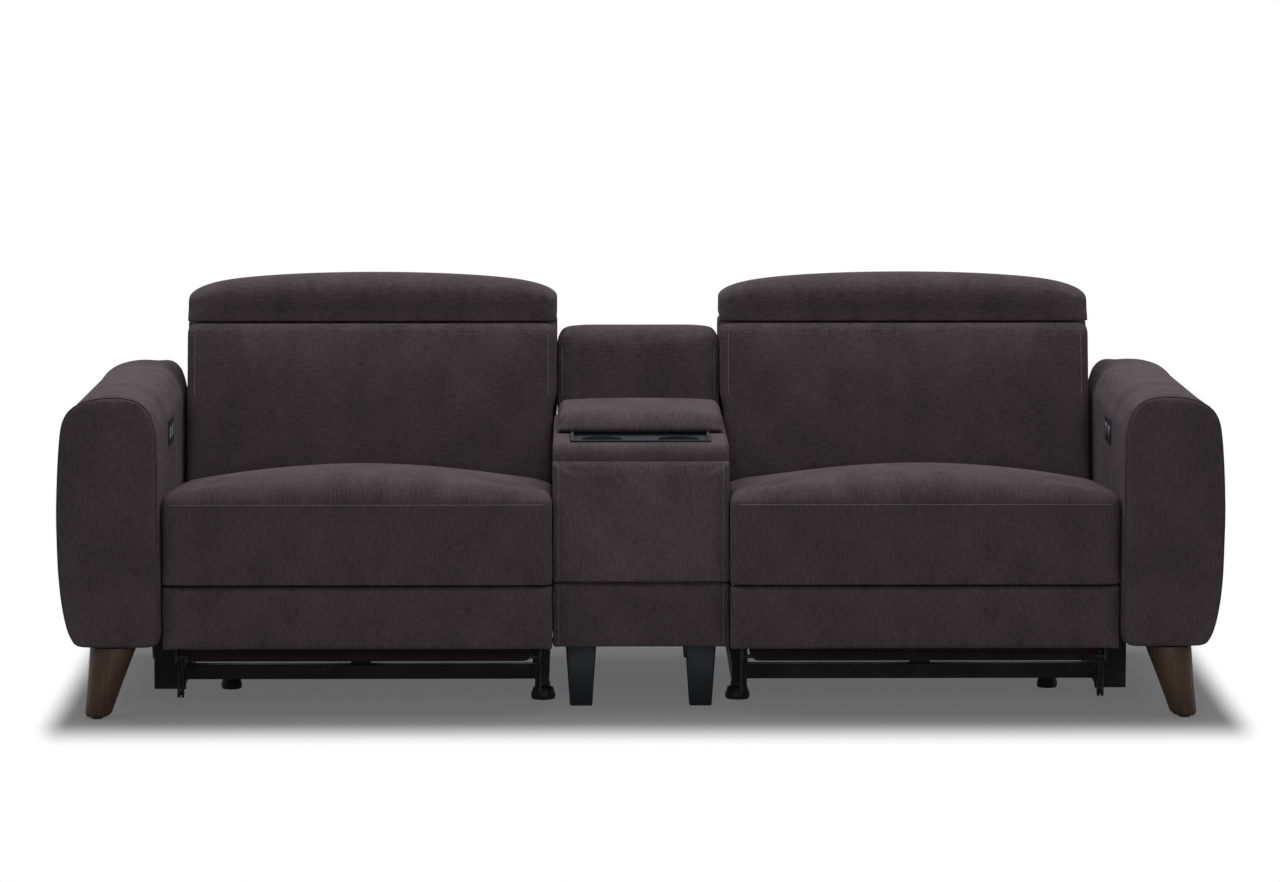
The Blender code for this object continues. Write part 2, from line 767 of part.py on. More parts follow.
def flap_mesh():
    """The flap behind the panel, with sockets for its hinge pins."""
    low = panel_bottom - FLAP_DROP
    high = low + FLAP_HEIGHT
    front = panel_rear + 0.0015
    rear = front + FLAP_DEPTH
    outline = rounded([(front, low), (front, high), (rear, high), (rear, low)], [0.004, 0.004, 0.008, 0.008])
    form = cushion(outline, seat_mid - flap_half, seat_mid + flap_half, 0.01, 3, lambda u, v, z: (v, z))
    edge = seat_mid + flap_half
    sockets = both(cross_pin(PIN + PIN_PLAY - 0.001, flap_pivot, edge - 0.022, edge + 0.01))
    return combined([form], sockets)


def long_link_mesh():
    """The long scissor bars and the torque tube on their first pivot."""
    bars = both(plate(bar(foot_pivot, long_end, BAR_WIDTH), seat_mid + long_in, seat_mid + long_out))
    tube = cross_pin(0.010, foot_pivot, seat_mid - long_in - 0.002, seat_mid + long_in + 0.002, 12)
    pins = both(
        cross_pin(PIN, foot_pivot, seat_mid + long_out - 0.002, seat_mid + scissor_hanger_in + 0.0045)
    )
    low, high = seat_mid + long_in - 0.002, seat_mid + long_out + 0.002
    holes = []
    for pivot in (cross_pivot, long_end):
        holes += both(cross_pin(PIN + PIN_PLAY, pivot, low, high))
    return combined([*bars, tube, *pins], holes)


def cross_link_mesh():
    """The crossing scissor bars and the rod on their middle pivot."""
    bars = both(plate(bar(cross_tail, cross_end, BAR_WIDTH), seat_mid + cross_in, seat_mid + cross_out))
    rod = cross_pin(0.007, cross_pivot, seat_mid - cross_in - 0.002, seat_mid + cross_in + 0.002, 12)
    pins = both(cross_pin(PIN, cross_pivot, seat_mid + cross_out - 0.002, seat_mid + long_out - 0.0005))
    low, high = seat_mid + cross_in - 0.002, seat_mid + cross_out + 0.002
    holes = []
    for pivot in (cross_end, cross_tail):
        holes += both(cross_pin(PIN + PIN_PLAY, pivot, low, high))
    return combined([*bars, rod, *pins], holes)


def tie_link_mesh():
    """The short outer tie between the long bar and the panel bracket."""
    link = plate(bar(long_end, panel_pivot, BAR_WIDTH), seat_mid + cross_in, seat_mid + cross_out)
    pin = cross_pin(PIN, long_end, seat_mid + cross_out - 0.002, seat_mid + long_out - 0.0005)
    hole = cross_pin(PIN + PIN_PLAY, panel_pivot, seat_mid + cross_in - 0.002, seat_mid + cross_out + 0.002)
    return combined([link, pin], [hole])


def panel_frame_mesh():
    """The two panel brackets, their pivot pins and the bar between them."""
    front = panel_rear + FIT
    side = rounded(
        [
            (front, flap_pivot[1] - 0.009),
            (flap_pivot[0] + 0.008, flap_pivot[1] - 0.009),
            (panel_pivot[0] + 0.011, panel_pivot[1] - 0.006),
            (cross_end[0] + 0.011, cross_end[1] + 0.004),
            (cross_end[0] + 0.003, cross_end[1] + 0.011),
            (front, cross_end[1] + 0.018),
        ],
        [0, 0.006, 0.008, 0.006, 0.006, 0],
    )
    parts = both(plate(side, seat_mid + long_in, seat_mid + long_out))
    parts.append(
        block(
            (seat_mid - long_in - 0.002, front, cross_end[1] - 0.006),
            (seat_mid + long_in + 0.002, front + 0.010, cross_end[1] + 0.016),
        )
    )
    for pivot in (cross_end, panel_pivot):
        parts += both(cross_pin(PIN, pivot, seat_mid + cross_in + 0.0005, seat_mid + long_in + 0.002))
    parts += both(
        cross_pin(PIN - 0.001, flap_pivot, seat_mid + flap_half - 0.018, seat_mid + long_in + 0.002)
    )
    return combined(parts)


def back_cushion_mesh():
    """The back cushion: leaning, crowned, with a rolled top."""
    rear_slope = (pad_head_rear - pad_foot_rear) / back_rise
    corners = [
        (back_foot, BACK_BOTTOM),
        (back_head, BACK_TOP),
        (pad_head_rear, BACK_TOP),
        (pad_foot_rear, BACK_BOTTOM),
    ]
    outline = rounded(corners, [0.03, 0.04, 0.01, 0.01], 3)
    lean = math.tan(math.radians(BACK_LEAN))
    mids = []
    for share in (0.35, 0.65):
        mids.append((back_foot + back_rise * share * lean, BACK_BOTTOM + back_rise * share))
    outline = outline[:4] + mids + outline[4:]

    def shape_of(u, v, z):
        rear = pad_foot_rear + rear_slope * (z - BACK_BOTTOM)
        share = (z - BACK_BOTTOM) / back_rise
        near = max(0.0, min(1.0, (rear - v) / BACK_PAD_TOP - 0.4))
        return v - 0.012 * near * (1 - u ** 4) * math.sin(math.pi * min(1.0, 0.1 + 0.8 * share)), z

    return cushion(outline, seat_in + BACK_MARGIN, seat_out - BACK_MARGIN, 0.016, 6, shape_of)


def shell_outline():
    front_low = pad_foot_rear + 0.014
    return [
        (front_low, SHELL_BOTTOM),
        (pad_foot_rear + FIT, BACK_BOTTOM),
        (pad_head_rear + FIT, BACK_TOP),
        (shell_head_rear, BACK_TOP),
        (shell_foot_rear + 0.012, (SHELL_BOTTOM + BACK_TOP) / 2 - 0.04),
        (shell_foot_rear, SHELL_BOTTOM),
    ]


def back_shell_mesh():
    """The upholstered back shell, its hinge arms and the lugs of the headrest hinge."""
    outline = rounded(shell_outline(), [0.006, 0, 0.004, 0.03, 0.1, 0.012])
    shell = cushion(
        outline, seat_in + BACK_MARGIN, seat_out - BACK_MARGIN, 0.008, 3, lambda u, v, z: (v, z)
    )
    arm_high = hanger_in - LINK_PLAY
    arm = rounded(
        [
            (hip[0] - 0.02, hip[1] - 0.02),
            (pad_foot_rear + 0.03, hip[1] - 0.05),
            (pad_foot_rear + 0.03, hip[1] + 0.03),
            (hip[0] - 0.02, hip[1] + 0.02),
        ],
        [0.018, 0, 0, 0.018],
    )
    parts = [shell, *both(plate(arm, seat_mid + arm_high - LINK_THICK, seat_mid + arm_high))]
    parts += both(cross_pin(PIN, hip, seat_mid + arm_high - 0.002, seat_mid + hanger_out - 0.0005))
    lug = [
        (head_pivot[0] - 0.004, BACK_TOP + 0.0015),
        (pad_head_rear + 0.006, BACK_TOP + 0.0015),
        (pad_head_rear + 0.008, BACK_TOP - 0.006),
        (pad_head_rear + 0.03, BACK_TOP - 0.006),
        (pad_head_rear + 0.03, head_pivot[1] + 0.004),
        (head_pivot[0] - 0.004, head_pivot[1] + 0.004),
    ]
    lug = rounded(lug, [0.003, 0, 0, 0, 0, 0.003])
    lug_in = seat_mid + seat_half * 0.6
    parts += both(plate(lug, lug_in, lug_in + LINK_THICK))
    parts += both(cross_pin(0.002, head_pivot, lug_in - 0.010, lug_in + 0.001, 8))
    return combined(parts)


def head_bracket_mesh():
    """The plate under the headrest and its two hinge knuckles."""
    edge = seat_half * 0.6 - 0.002
    level = BACK_TOP + HEAD_GAP - FIT
    board = block(
        (seat_mid - edge, head_pivot[0] - 0.003, level - 0.0045),
        (seat_mid + edge, head_pivot[0] + HEAD_DEPTH * 0.62, level),
    )
    knuckles = both(cross_pin(0.004, head_pivot, seat_mid + edge - 0.03, seat_mid + edge, 12))
    holes = both(cross_pin(0.0024, head_pivot, seat_mid + edge - 0.012, seat_mid + edge + 0.01, 8))
    return combined([board, *knuckles], holes)


def headrest_mesh():
    """The headrest: a long arched pillow lying along the top of the back."""
    low = BACK_TOP + HEAD_GAP
    front = back_head + 0.014
    high = low + HEAD_HEIGHT
    rear = front + HEAD_DEPTH
    corners = [(front, low), (front + 0.016, high), (rear, high - 0.012), (rear, low)]
    outline = rounded(corners, [0.008, 0.04, 0.035, 0.008], 3)

    def shape_of(u, v, z):
        share = (z - low) / HEAD_HEIGHT
        drop = HEAD_ARCH * (0.55 * u * u + 0.45 * abs(u) ** 12)
        return v, z - share * drop

    return cushion(outline, seat_in + BACK_MARGIN, seat_out - BACK_MARGIN, 0.012, 8, shape_of)


def actuator_mesh():
    """The linear drive: a rail on the cross tubes with its motor housing at the rear."""
    low = TUBE_BOTTOM + TUBE + FIT
    motor_rear = tube_rear + TUBE - 0.002
    motor_half = MOTOR_WIDTH / 2
    rail = block(
        (seat_mid - DRIVE_WIDTH / 2, tube_front + 0.003, low),
        (seat_mid + DRIVE_WIDTH / 2, tube_rear + TUBE, low + DRIVE_HEIGHT),
    )
    motor = block(
        (seat_mid - motor_half, motor_rear - MOTOR_LENGTH, low),
        (seat_mid + motor_half, motor_rear, low + MOTOR_HEIGHT),
    )
    axis = (motor_rear - MOTOR_LENGTH / 2, low + MOTOR_HEIGHT / 2)
    gear_start = seat_mid + motor_half - 0.002
    gear = cross_pin(GEAR_RADIUS, axis, gear_start, gear_start + GEAR_LENGTH, 12)
    socket = cross_pin(0.005, axis, seat_mid - motor_half - 0.01, seat_mid - motor_half + 0.012)
    return combined([rail, motor, gear], [socket])


def carriage_mesh():
    """The carriage on the drive rail, whose fork holds the front torque tube."""
    middle = ((front_base[0] + front_top[0]) / 2, (front_base[1] + front_top[1]) / 2)
    low = TUBE_BOTTOM + TUBE + 0.0025
    rail_top = TUBE_BOTTOM + TUBE + FIT + DRIVE_HEIGHT
    channel_half = DRIVE_WIDTH / 2 + 0.0006
    saddle_half = channel_half + CARRIAGE_WALL
    front = middle[0] - CARRIAGE_LENGTH / 2
    rear = middle[0] + CARRIAGE_LENGTH / 2
    saddle = block((seat_mid - saddle_half, front, low), (seat_mid + saddle_half, rear, rail_top + 0.010))
    channel = block(
        (seat_mid - channel_half, front - 0.01, low - 0.01),
        (seat_mid + channel_half, rear + 0.01, rail_top + 0.0006),
    )
    posts = []
    near = SWING_TUBE + FORK_PLAY
    for side in (-1, 1):
        faces = sorted((middle[0] + side * near, middle[0] + side * (near + FORK_WALL)))
        posts.append(
            block(
                (seat_mid - 0.014, faces[0], rail_top + 0.005),
                (seat_mid + 0.014, faces[1], middle[1] + 0.014),
            )
        )
    return combined([saddle, *posts], [channel])


def console_body_mesh():
    """The console: a padded box with a storage well, a rebate for the tray and a lid seat."""
    corners = [
        (CONSOLE_SETBACK, CONSOLE_BOTTOM),
        (CONSOLE_SETBACK, CONSOLE_TOP),
        (CONSOLE_RISE_START - FIT, CONSOLE_TOP),
        (CONSOLE_RISE_START - FIT, CONSOLE_BOTTOM),
    ]
    outline = rounded(corners, [0.014, 0.034, 0, 0], 3)
    outline.insert(4, (CONSOLE_SETBACK, CONSOLE_TOP - 0.055))
    outline.insert(5, (CONSOLE_SETBACK - 0.003, CONSOLE_TOP - 0.045))

    def shape_of(u, v, z):
        return v, z

    form = cushion(outline, -console_half, console_half, 0.010, 3, shape_of)
    tray = tray_box(FIT, 0.02)
    wells = []
    for x in cup_places():
        wells.append(
            shaft(
                CUP_RADIUS + CUP_WALL + FIT,
                (x, tray_middle(), CONSOLE_TOP - CUP_DEPTH - 2 * CUP_WALL),
                (x, tray_middle(), CONSOLE_TOP + 0.02),
                24,
            )
        )
    low, high = store_span()
    half = TRAY_WIDTH / 2 - 0.01
    store = block((-half, low, CONSOLE_TOP - STORE_DEPTH), (half, high, CONSOLE_TOP + 0.02))
    return combined([form, *lid_cheeks()], [tray, *wells, store])


def tray_middle():
    return CONSOLE_SETBACK + TRAY_START + TRAY_LENGTH / 2


def cup_places():
    return (-TRAY_WIDTH * 0.275, TRAY_WIDTH * 0.275)


def store_span():
    start = CONSOLE_SETBACK + TRAY_START + TRAY_LENGTH + 0.022
    return (start, start + LID_LENGTH - 0.05)


def tray_box(slack, rise):
    """The rebate that the tray drops into."""
    start = CONSOLE_SETBACK + TRAY_START
    return block(
        (-TRAY_WIDTH / 2 - slack, start - slack, CONSOLE_TOP - TRAY_SINK - TRAY_FLOOR - slack),
        (TRAY_WIDTH / 2 + slack, start + TRAY_LENGTH + slack, CONSOLE_TOP + rise),
    )


def tray_mesh():
    """The moulded tray: two cup holders and a finger recess between them."""
    half = TRAY_WIDTH / 2
    start = CONSOLE_SETBACK + TRAY_START
    end = start + TRAY_LENGTH
    floor = CONSOLE_TOP - TRAY_SINK
    foot = floor - 0.002
    top = CONSOLE_TOP + TRAY_LIP
    parts = [
        block((-half, start, floor - TRAY_FLOOR), (half, end, floor)),
        block((-half, start, foot), (half, start + TRAY_RIM, top)),
        block((-half, end - TRAY_RIM, foot), (half, end, top)),
        block((-half, start, foot), (-half + TRAY_EDGE, end, top)),
        block((half - TRAY_EDGE, start, foot), (half, end, top)),
    ]
    wells = []
    low = CONSOLE_TOP - CUP_DEPTH - CUP_WALL
    depth = tray_middle()
    for x in cup_places():
        parts.append(shaft(CUP_RADIUS + CUP_WALL, (x, depth, low), (x, depth, floor + 0.001), 24))
        wells.append(shaft(CUP_RADIUS, (x, depth, low + CUP_WALL), (x, depth, top + 0.006), 24))
    notch_half = TRAY_WIDTH * 0.1
    notch = block(
        (-notch_half, start + 0.004, floor - TRAY_EDGE),
        (notch_half, start + 0.004 + NOTCH_LENGTH, top + 0.006),
    )
    return combined(parts, [*wells, notch])


def lid_start():
    return CONSOLE_SETBACK + TRAY_START + TRAY_LENGTH + 0.004


def lid_hinge():
    """The (depth, z) axis of the lid, just behind its lower rear edge."""
    return (lid_start() + LID_LENGTH + 0.0045, CONSOLE_TOP + 0.0055)


def lid_mesh():
    """The padded lid over the storage well, with the barrel of its hinge."""
    low = CONSOLE_TOP + 0.0003
    start = lid_start()
    rear = start + LID_LENGTH
    corners = [(start, low), (start, low + LID_HEIGHT), (rear, low + LID_HEIGHT), (rear, low)]
    outline = rounded(corners, [0.014, 0.03, 0.02, 0.002], 3)
    outline = outline[:8] + [(start + LID_LENGTH * 0.5, low + LID_HEIGHT)] + outline[8:]

    def shape_of(u, v, z):
        share = (z - low) / LID_HEIGHT
        middle = math.sin(math.pi * max(0.0, min(1.0, (v - start) / LID_LENGTH)))
        return v, z + share * 0.008 * (1 - u * u) * middle

    form = cushion(outline, -console_half + LID_INSET, console_half - LID_INSET, 0.016, 4, shape_of)
    axis = lid_hinge()
    edge = console_half * 0.5
    web = block((-edge, rear - 0.006, axis[1] - 0.002), (edge, axis[0], axis[1] + 0.002))
    barrel = cross_pin(HINGE_BARREL, axis, -edge, edge, 12)
    holes = []
    for side in (-1, 1):
        ends = sorted((side * (edge - 0.012), side * (edge + 0.01)))
        holes.append(cross_pin(HINGE_PIN + FIT, axis, *ends, 8))
    return combined([form, web, barrel], holes)


def lid_cheeks():
    """Two ears on the console, with the pins that the lid turns on."""
    axis = lid_hinge()
    edge = console_half * 0.5 + 0.0006
    parts = []
    for side in (-1, 1):
        ends = sorted((side * edge, side * (edge + 0.006)))
        parts.append(plate(bar(axis, (axis[0], CONSOLE_TOP - 0.006), 2 * HINGE_BARREL - FIT), *ends))
        ends = sorted((side * (edge - 0.010), side * (edge + 0.002)))
        parts.append(cross_pin(HINGE_PIN, axis, *ends, 8))
    return parts


def console_back_mesh():
    """The raised back of the console, which stands between the two seat backs."""
    corners = [
        (CONSOLE_RISE_START, CONSOLE_BOTTOM + 0.06),
        (CONSOLE_RISE_START, CONSOLE_TOP),
        (CONSOLE_RISE_START + 0.035, BACK_TOP + 0.002),
        (shell_head_rear - 0.012, BACK_TOP + 0.002),
        (shell_foot_rear + 0.002, (SHELL_BOTTOM + BACK_TOP) / 2 - 0.04),
        (shell_foot_rear - 0.006, CONSOLE_BOTTOM + 0.06),
    ]
    outline = rounded(corners, [0, 0, 0.035, 0.03, 0.1, 0.01])
    half = console_half - CONSOLE_BACK_INSET
    form = cushion(outline, -half, half, 0.014, 3, lambda u, v, z: (v, z))
    sill = block(
        (-half + 0.02, CONSOLE_RISE_START, CONSOLE_BOTTOM),
        (half - 0.02, shell_foot_rear - 0.02, CONSOLE_BOTTOM + 0.10),
    )
    return combined([form, sill])


def square_leg_mesh(x, v, height):
    """A square tapered leg."""
    rings = []
    for size, z in ((CONSOLE_LEG_FOOT, 0.0), (CONSOLE_LEG_TOP, height - FIT)):
        half = size / 2
        corners = [(-half, -half), (half, -half), (half, half), (-half, half)]
        ring = rounded(corners, [0.004] * 4)
        rings.append([(x + a, FRONT + v + b, z) for a, b in ring])
    return loft(rings)


def recliner(side):
    """One arm and one power recliner: side is 1 for the right-hand seat and -1 for its mirror image."""
    tail = "right" if side > 0 else "left"

    def put(name, mesh, look, carrier=None):
        add(f"{name}_{tail}", mesh if side > 0 else flipped(mesh, 0.0), look, carrier)

    def pivot(point, x=seat_mid):
        return (side * x, *point)

    put("arm", arm_mesh(), "fabric")
    put("front_leg", splayed_leg(LEG_SETBACK, LEG_SETBACK - LEG_LEAN), "walnut")
    rear = square_leg_mesh(arm_in + 0.056, ARM_LENGTH - REAR_LEG_SETBACK, ARM_BOTTOM)
    put("rear_leg", rear, "dark_wood")
    put("control_panel", control_mesh(), "plastic")
    for name, v in zip(("recline_rocker", "headrest_rocker"), rocker_places()):
        carrier = body(f"{name}_{tail}_body", (side * (arm_in + 0.002), v, CONTROL_LEVEL))
        put(name, rocker_mesh(v), "silver", carrier)
    put("base_frame", base_frame_mesh(), "black_steel")
    put("inner_glide", glide_mesh(inner_glide_place(), 0.026), "rubber")
    put("outer_glide", glide_mesh(outer_glide_place(), 0.022), "rubber")
    put("actuator", actuator_mesh(), "plastic")
    carriage = body(f"carriage_{tail}_body", pivot((front_base[0], TUBE_BOTTOM + TUBE)))
    put("carriage", carriage_mesh(), "black_steel", carriage)
    front_swing = body(f"front_swing_{tail}_body", pivot(front_base))
    put("front_swing", swing_mesh(front_base, front_top), "black_steel", front_swing)
    rear_swing = body(f"rear_swing_{tail}_body", pivot(rear_base))
    put("rear_swing", swing_mesh(rear_base, rear_top), "black_steel", rear_swing)
    seat = body(f"seat_{tail}_body", pivot(rear_top), rear_swing)
    put("seat_frame", seat_frame_mesh(), "black_steel", seat)
    put("seat_cushion", seat_cushion_mesh(), "fabric", seat)
    back = body(f"back_{tail}_body", pivot(hip), seat)
    put("back_shell", back_shell_mesh(), "fabric", back)
    put("back_cushion", back_cushion_mesh(), "fabric", back)
    head = body(f"headrest_{tail}_body", pivot(head_pivot), back)
    put("headrest_bracket", head_bracket_mesh(), "black_steel", head)
    put("headrest", headrest_mesh(), "fabric", head)
    long_link = body(f"long_link_{tail}_body", pivot(foot_pivot), seat)
    put("long_link", long_link_mesh(), "black_steel", long_link)
    cross_link = body(f"cross_link_{tail}_body", pivot(cross_pivot), long_link)
    put("cross_link", cross_link_mesh(), "black_steel", cross_link)
    tie = tie_link_mesh()
    for name, mesh in (("outer_tie", tie), ("inner_tie", flipped(tie, seat_mid))):
        carrier = body(f"{name}_{tail}_body", pivot(long_end), long_link)
        put(name, mesh, "black_steel", carrier)
    panel = body(f"footrest_{tail}_body", pivot(cross_end), cross_link)
    put("panel_frame", panel_frame_mesh(), "black_steel", panel)
    put("footrest_panel", panel_mesh(), "fabric", panel)
    flap = body(f"flap_{tail}_body", pivot(flap_pivot), panel)
    put("footrest_flap", flap_mesh(), "lining", flap)


def console():
    """The console, its tray, lid, raised back and legs."""
    add("console_body", console_body_mesh(), "fabric")
    add("console_tray", tray_mesh(), "plastic")
    add("console_lid", lid_mesh(), "fabric", body("console_lid_body", (0.0, *lid_hinge())))
    add("console_back", console_back_mesh(), "fabric")
    front = CONSOLE_SETBACK + 0.07
    rear = shell_foot_rear - 0.055
    reach = console_half - 0.056
    for name, x, v in (
        ("console_leg_front_left", -reach, front),
        ("console_leg_front_right", reach, front),
        ("console_leg_rear_left", -reach, rear),
        ("console_leg_rear_right", reach, rear),
    ):
        add(name, square_leg_mesh(x, v, CONSOLE_BOTTOM), "dark_wood")


recliner(1)
recliner(-1)
console()
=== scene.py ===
# Looks of a power reclining loveseat with a storage console between its seats.
import json
import math

import bmesh
import bpy
from mathutils import Matrix, Vector
from mathutils.bvhtree import BVHTree

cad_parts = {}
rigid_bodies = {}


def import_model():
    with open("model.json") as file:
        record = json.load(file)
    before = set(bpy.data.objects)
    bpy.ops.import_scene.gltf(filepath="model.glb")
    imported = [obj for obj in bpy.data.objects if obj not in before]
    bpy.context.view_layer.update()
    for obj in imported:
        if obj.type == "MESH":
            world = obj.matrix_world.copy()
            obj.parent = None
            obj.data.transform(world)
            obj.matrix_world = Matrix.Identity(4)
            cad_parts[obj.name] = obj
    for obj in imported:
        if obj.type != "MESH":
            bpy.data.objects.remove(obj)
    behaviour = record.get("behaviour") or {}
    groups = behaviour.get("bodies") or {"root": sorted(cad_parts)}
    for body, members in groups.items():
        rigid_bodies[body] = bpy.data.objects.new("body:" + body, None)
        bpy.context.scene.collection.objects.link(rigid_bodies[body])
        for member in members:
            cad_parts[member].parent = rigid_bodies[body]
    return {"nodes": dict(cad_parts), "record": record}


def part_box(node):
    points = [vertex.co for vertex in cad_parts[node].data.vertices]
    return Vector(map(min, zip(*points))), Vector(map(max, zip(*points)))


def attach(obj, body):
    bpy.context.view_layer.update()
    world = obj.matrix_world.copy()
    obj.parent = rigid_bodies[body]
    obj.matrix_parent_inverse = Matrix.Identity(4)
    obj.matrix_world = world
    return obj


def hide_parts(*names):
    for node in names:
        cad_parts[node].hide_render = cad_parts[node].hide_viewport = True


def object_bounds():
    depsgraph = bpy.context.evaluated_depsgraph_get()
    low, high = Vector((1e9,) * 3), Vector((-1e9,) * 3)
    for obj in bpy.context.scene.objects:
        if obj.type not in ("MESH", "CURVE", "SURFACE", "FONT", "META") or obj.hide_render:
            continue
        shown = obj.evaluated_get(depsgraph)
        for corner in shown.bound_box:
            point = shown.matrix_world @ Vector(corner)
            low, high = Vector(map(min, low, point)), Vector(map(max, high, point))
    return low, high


for item in list(bpy.data.objects):  # what a new file starts with
    bpy.data.objects.remove(item)
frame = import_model()
cadLow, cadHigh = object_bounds()
scene = bpy.context.scene

# padded pieces are made for the right-hand seat and mirrored
armLow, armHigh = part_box("arm_right")
seatLow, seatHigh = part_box("seat_cushion_right")
footLow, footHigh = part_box("footrest_panel_right")
flapLow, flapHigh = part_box("footrest_flap_right")
backLow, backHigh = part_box("back_cushion_right")
headLow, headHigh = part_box("headrest_right")
consoleLow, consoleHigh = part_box("console_body")
lidLow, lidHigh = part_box("console_lid")
trayLow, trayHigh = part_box("console_tray")
riseLow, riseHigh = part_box("console_back")
frontY = armLow.y


def within(value, low=0.0, high=1.0):
    return min(high, max(low, value))


# Camera and light

viewPoint = {
    "distance": 10.0, "height": 1.795, "across": -0.107, "pitch": 7.0087, "yaw": -0.595,
    "focalPixels": 5014.0, "imageWidth": 1280, "sensor": 36.0, "farthest": 200.0,
}


def makeCamera():
    camera = bpy.data.cameras.new("camera")
    camera.sensor_width = viewPoint["sensor"]
    camera.lens = viewPoint["focalPixels"] * camera.sensor_width / viewPoint["imageWidth"]
    camera.clip_end = viewPoint["farthest"]
    holder = bpy.data.objects.new("camera", camera)
    holder.location = (viewPoint["across"], frontY - viewPoint["distance"], viewPoint["height"])
    holder.rotation_euler = (math.radians(90.0 - viewPoint["pitch"]), 0.0, math.radians(viewPoint["yaw"]))
    scene.collection.objects.link(holder)
    scene.camera = holder


studio = {
    "topPower": 204.0, "topSize": (6.8, 2.2), "topPlace": (0.0, 0.30, 3.0),
    "frontPower": 72.0, "frontSize": (1.4, 2.0), "frontPlace": (0.0, -4.6, 3.0),
    "aim": (0.0, 0.0, 0.45), "worldStrength": 0.17,
}


def softBox(side):
    name, stand = side + "_light", studio[side + "Place"]
    lamp = bpy.data.lights.new(name, "AREA")
    lamp.shape = "RECTANGLE"
    lamp.size, lamp.size_y = studio[side + "Size"]
    lamp.energy = studio[side + "Power"]
    holder = bpy.data.objects.new(name, lamp)
    holder.location = stand
    aim = Vector(studio["aim"]) - Vector(stand)
    holder.rotation_euler = aim.to_track_quat("-Z", "Y").to_euler()
    scene.collection.objects.link(holder)


def combined(tree, operation, first, second):
    step = tree.nodes.new("ShaderNodeMath")
    step.operation = operation
    for index, value in enumerate((first, second)):
        if isinstance(value, float):
            step.inputs[index].default_value = value
        else:
            tree.links.new(value, step.inputs[index])
    return step.outputs[0]


def remapped(tree, source, low, high, toLow, toHigh):
    spread = tree.nodes.new("ShaderNodeMapRange")
    fillIn(spread, {"From Min": low, "From Max": high, "To Min": toLow, "To Max": toHigh})
    tree.links.new(source, spread.inputs["Value"])
    return spread.outputs["Result"]


def fillIn(node, values):
    for name, value in values.items():
        node.inputs[name].default_value = value


def seenRays(tree):
    # 1 for what is seen straight on, in gloss or through glass, and 0 for what only lights
    path = tree.nodes.new("ShaderNodeLightPath").outputs
    seen = combined(tree, "MAXIMUM", path["Is Camera Ray"], path["Is Glossy Ray"])
    return combined(tree, "MAXIMUM", seen, path["Is Transmission Ray"])


def lightStudio():
    softBox("top")
    softBox("front")
    world = bpy.data.worlds.new("studio")
    scene.world = world
    world.use_nodes = True
    tree = world.node_tree
    backdrop = tree.nodes["Background"]
    backdrop.inputs["Color"].default_value = (1.0, 1.0, 1.0, 1.0)
    strength = remapped(tree, seenRays(tree), 0.0, 1.0, studio["worldStrength"], 1.0)
    tree.links.new(strength, backdrop.inputs["Strength"])
    scene.view_settings.view_transform = "Standard"
    print("camera and light")


# Materials

def freshMaterial(name):
    material = bpy.data.materials.new(name)
    material.use_nodes = True
    return material, material.node_tree, material.node_tree.nodes["Principled BSDF"]


def stretchedNoise(tree, source, scale, detail, roughness):
    mapping = tree.nodes.new("ShaderNodeMapping")
    mapping.inputs["Scale"].default_value = scale
    tree.links.new(source, mapping.inputs["Vector"])
    noise = tree.nodes.new("ShaderNodeTexNoise")
    fillIn(noise, {"Scale": 1.0, "Detail": detail, "Roughness": roughness})
    tree.links.new(mapping.outputs["Vector"], noise.inputs["Vector"])
    return noise.outputs["Fac"]


def tinted(tree, shader, colour, shade):
    tint = tree.nodes.new("ShaderNodeVectorMath")
    tint.operation = "SCALE"
    tint.inputs[0].default_value = colour
    tree.links.new(shade, tint.inputs["Scale"])
    tree.links.new(tint.outputs["Vector"], shader.inputs["Base Color"])


def raised(tree, shader, height, strength, depth):
    bump = tree.nodes.new("ShaderNodeBump")
    fillIn(bump, {"Strength": strength, "Distance": depth})
    tree.links.new(height, bump.inputs["Height"])
    tree.links.new(bump.outputs["Normal"], shader.inputs["Normal"])


chenille = {
    "colour": (0.0425, 0.0333, 0.0360), "roughness": 0.88, "specular": 0.05,
    "sheen": 0.04, "sheenRoughness": 0.38, "sheenTint": (0.50, 0.435, 0.455),
    "yarn": 620.0, "slub": (360.0, 46.0), "nap": 11.0,
    "levelSlub": (1.2, 1.1), "napStretch": 0.7,  # against the upright slubs, and the nap's width
    # from which part of each pattern, and by how much it darkens and lightens
    "slubRange": (0.30, 0.72), "uprightShade": (-0.24, 0.30), "levelShade": (-0.15, 0.19),
    "napRange": (0.32, 0.70), "napShade": (0.84, 1.20), "yarnRange": (0.25, 0.75), "yarnShade": (-0.16, 0.18),
    "yarnRelief": 0.7, "relief": 0.55, "reliefDepth": 0.0007,
}


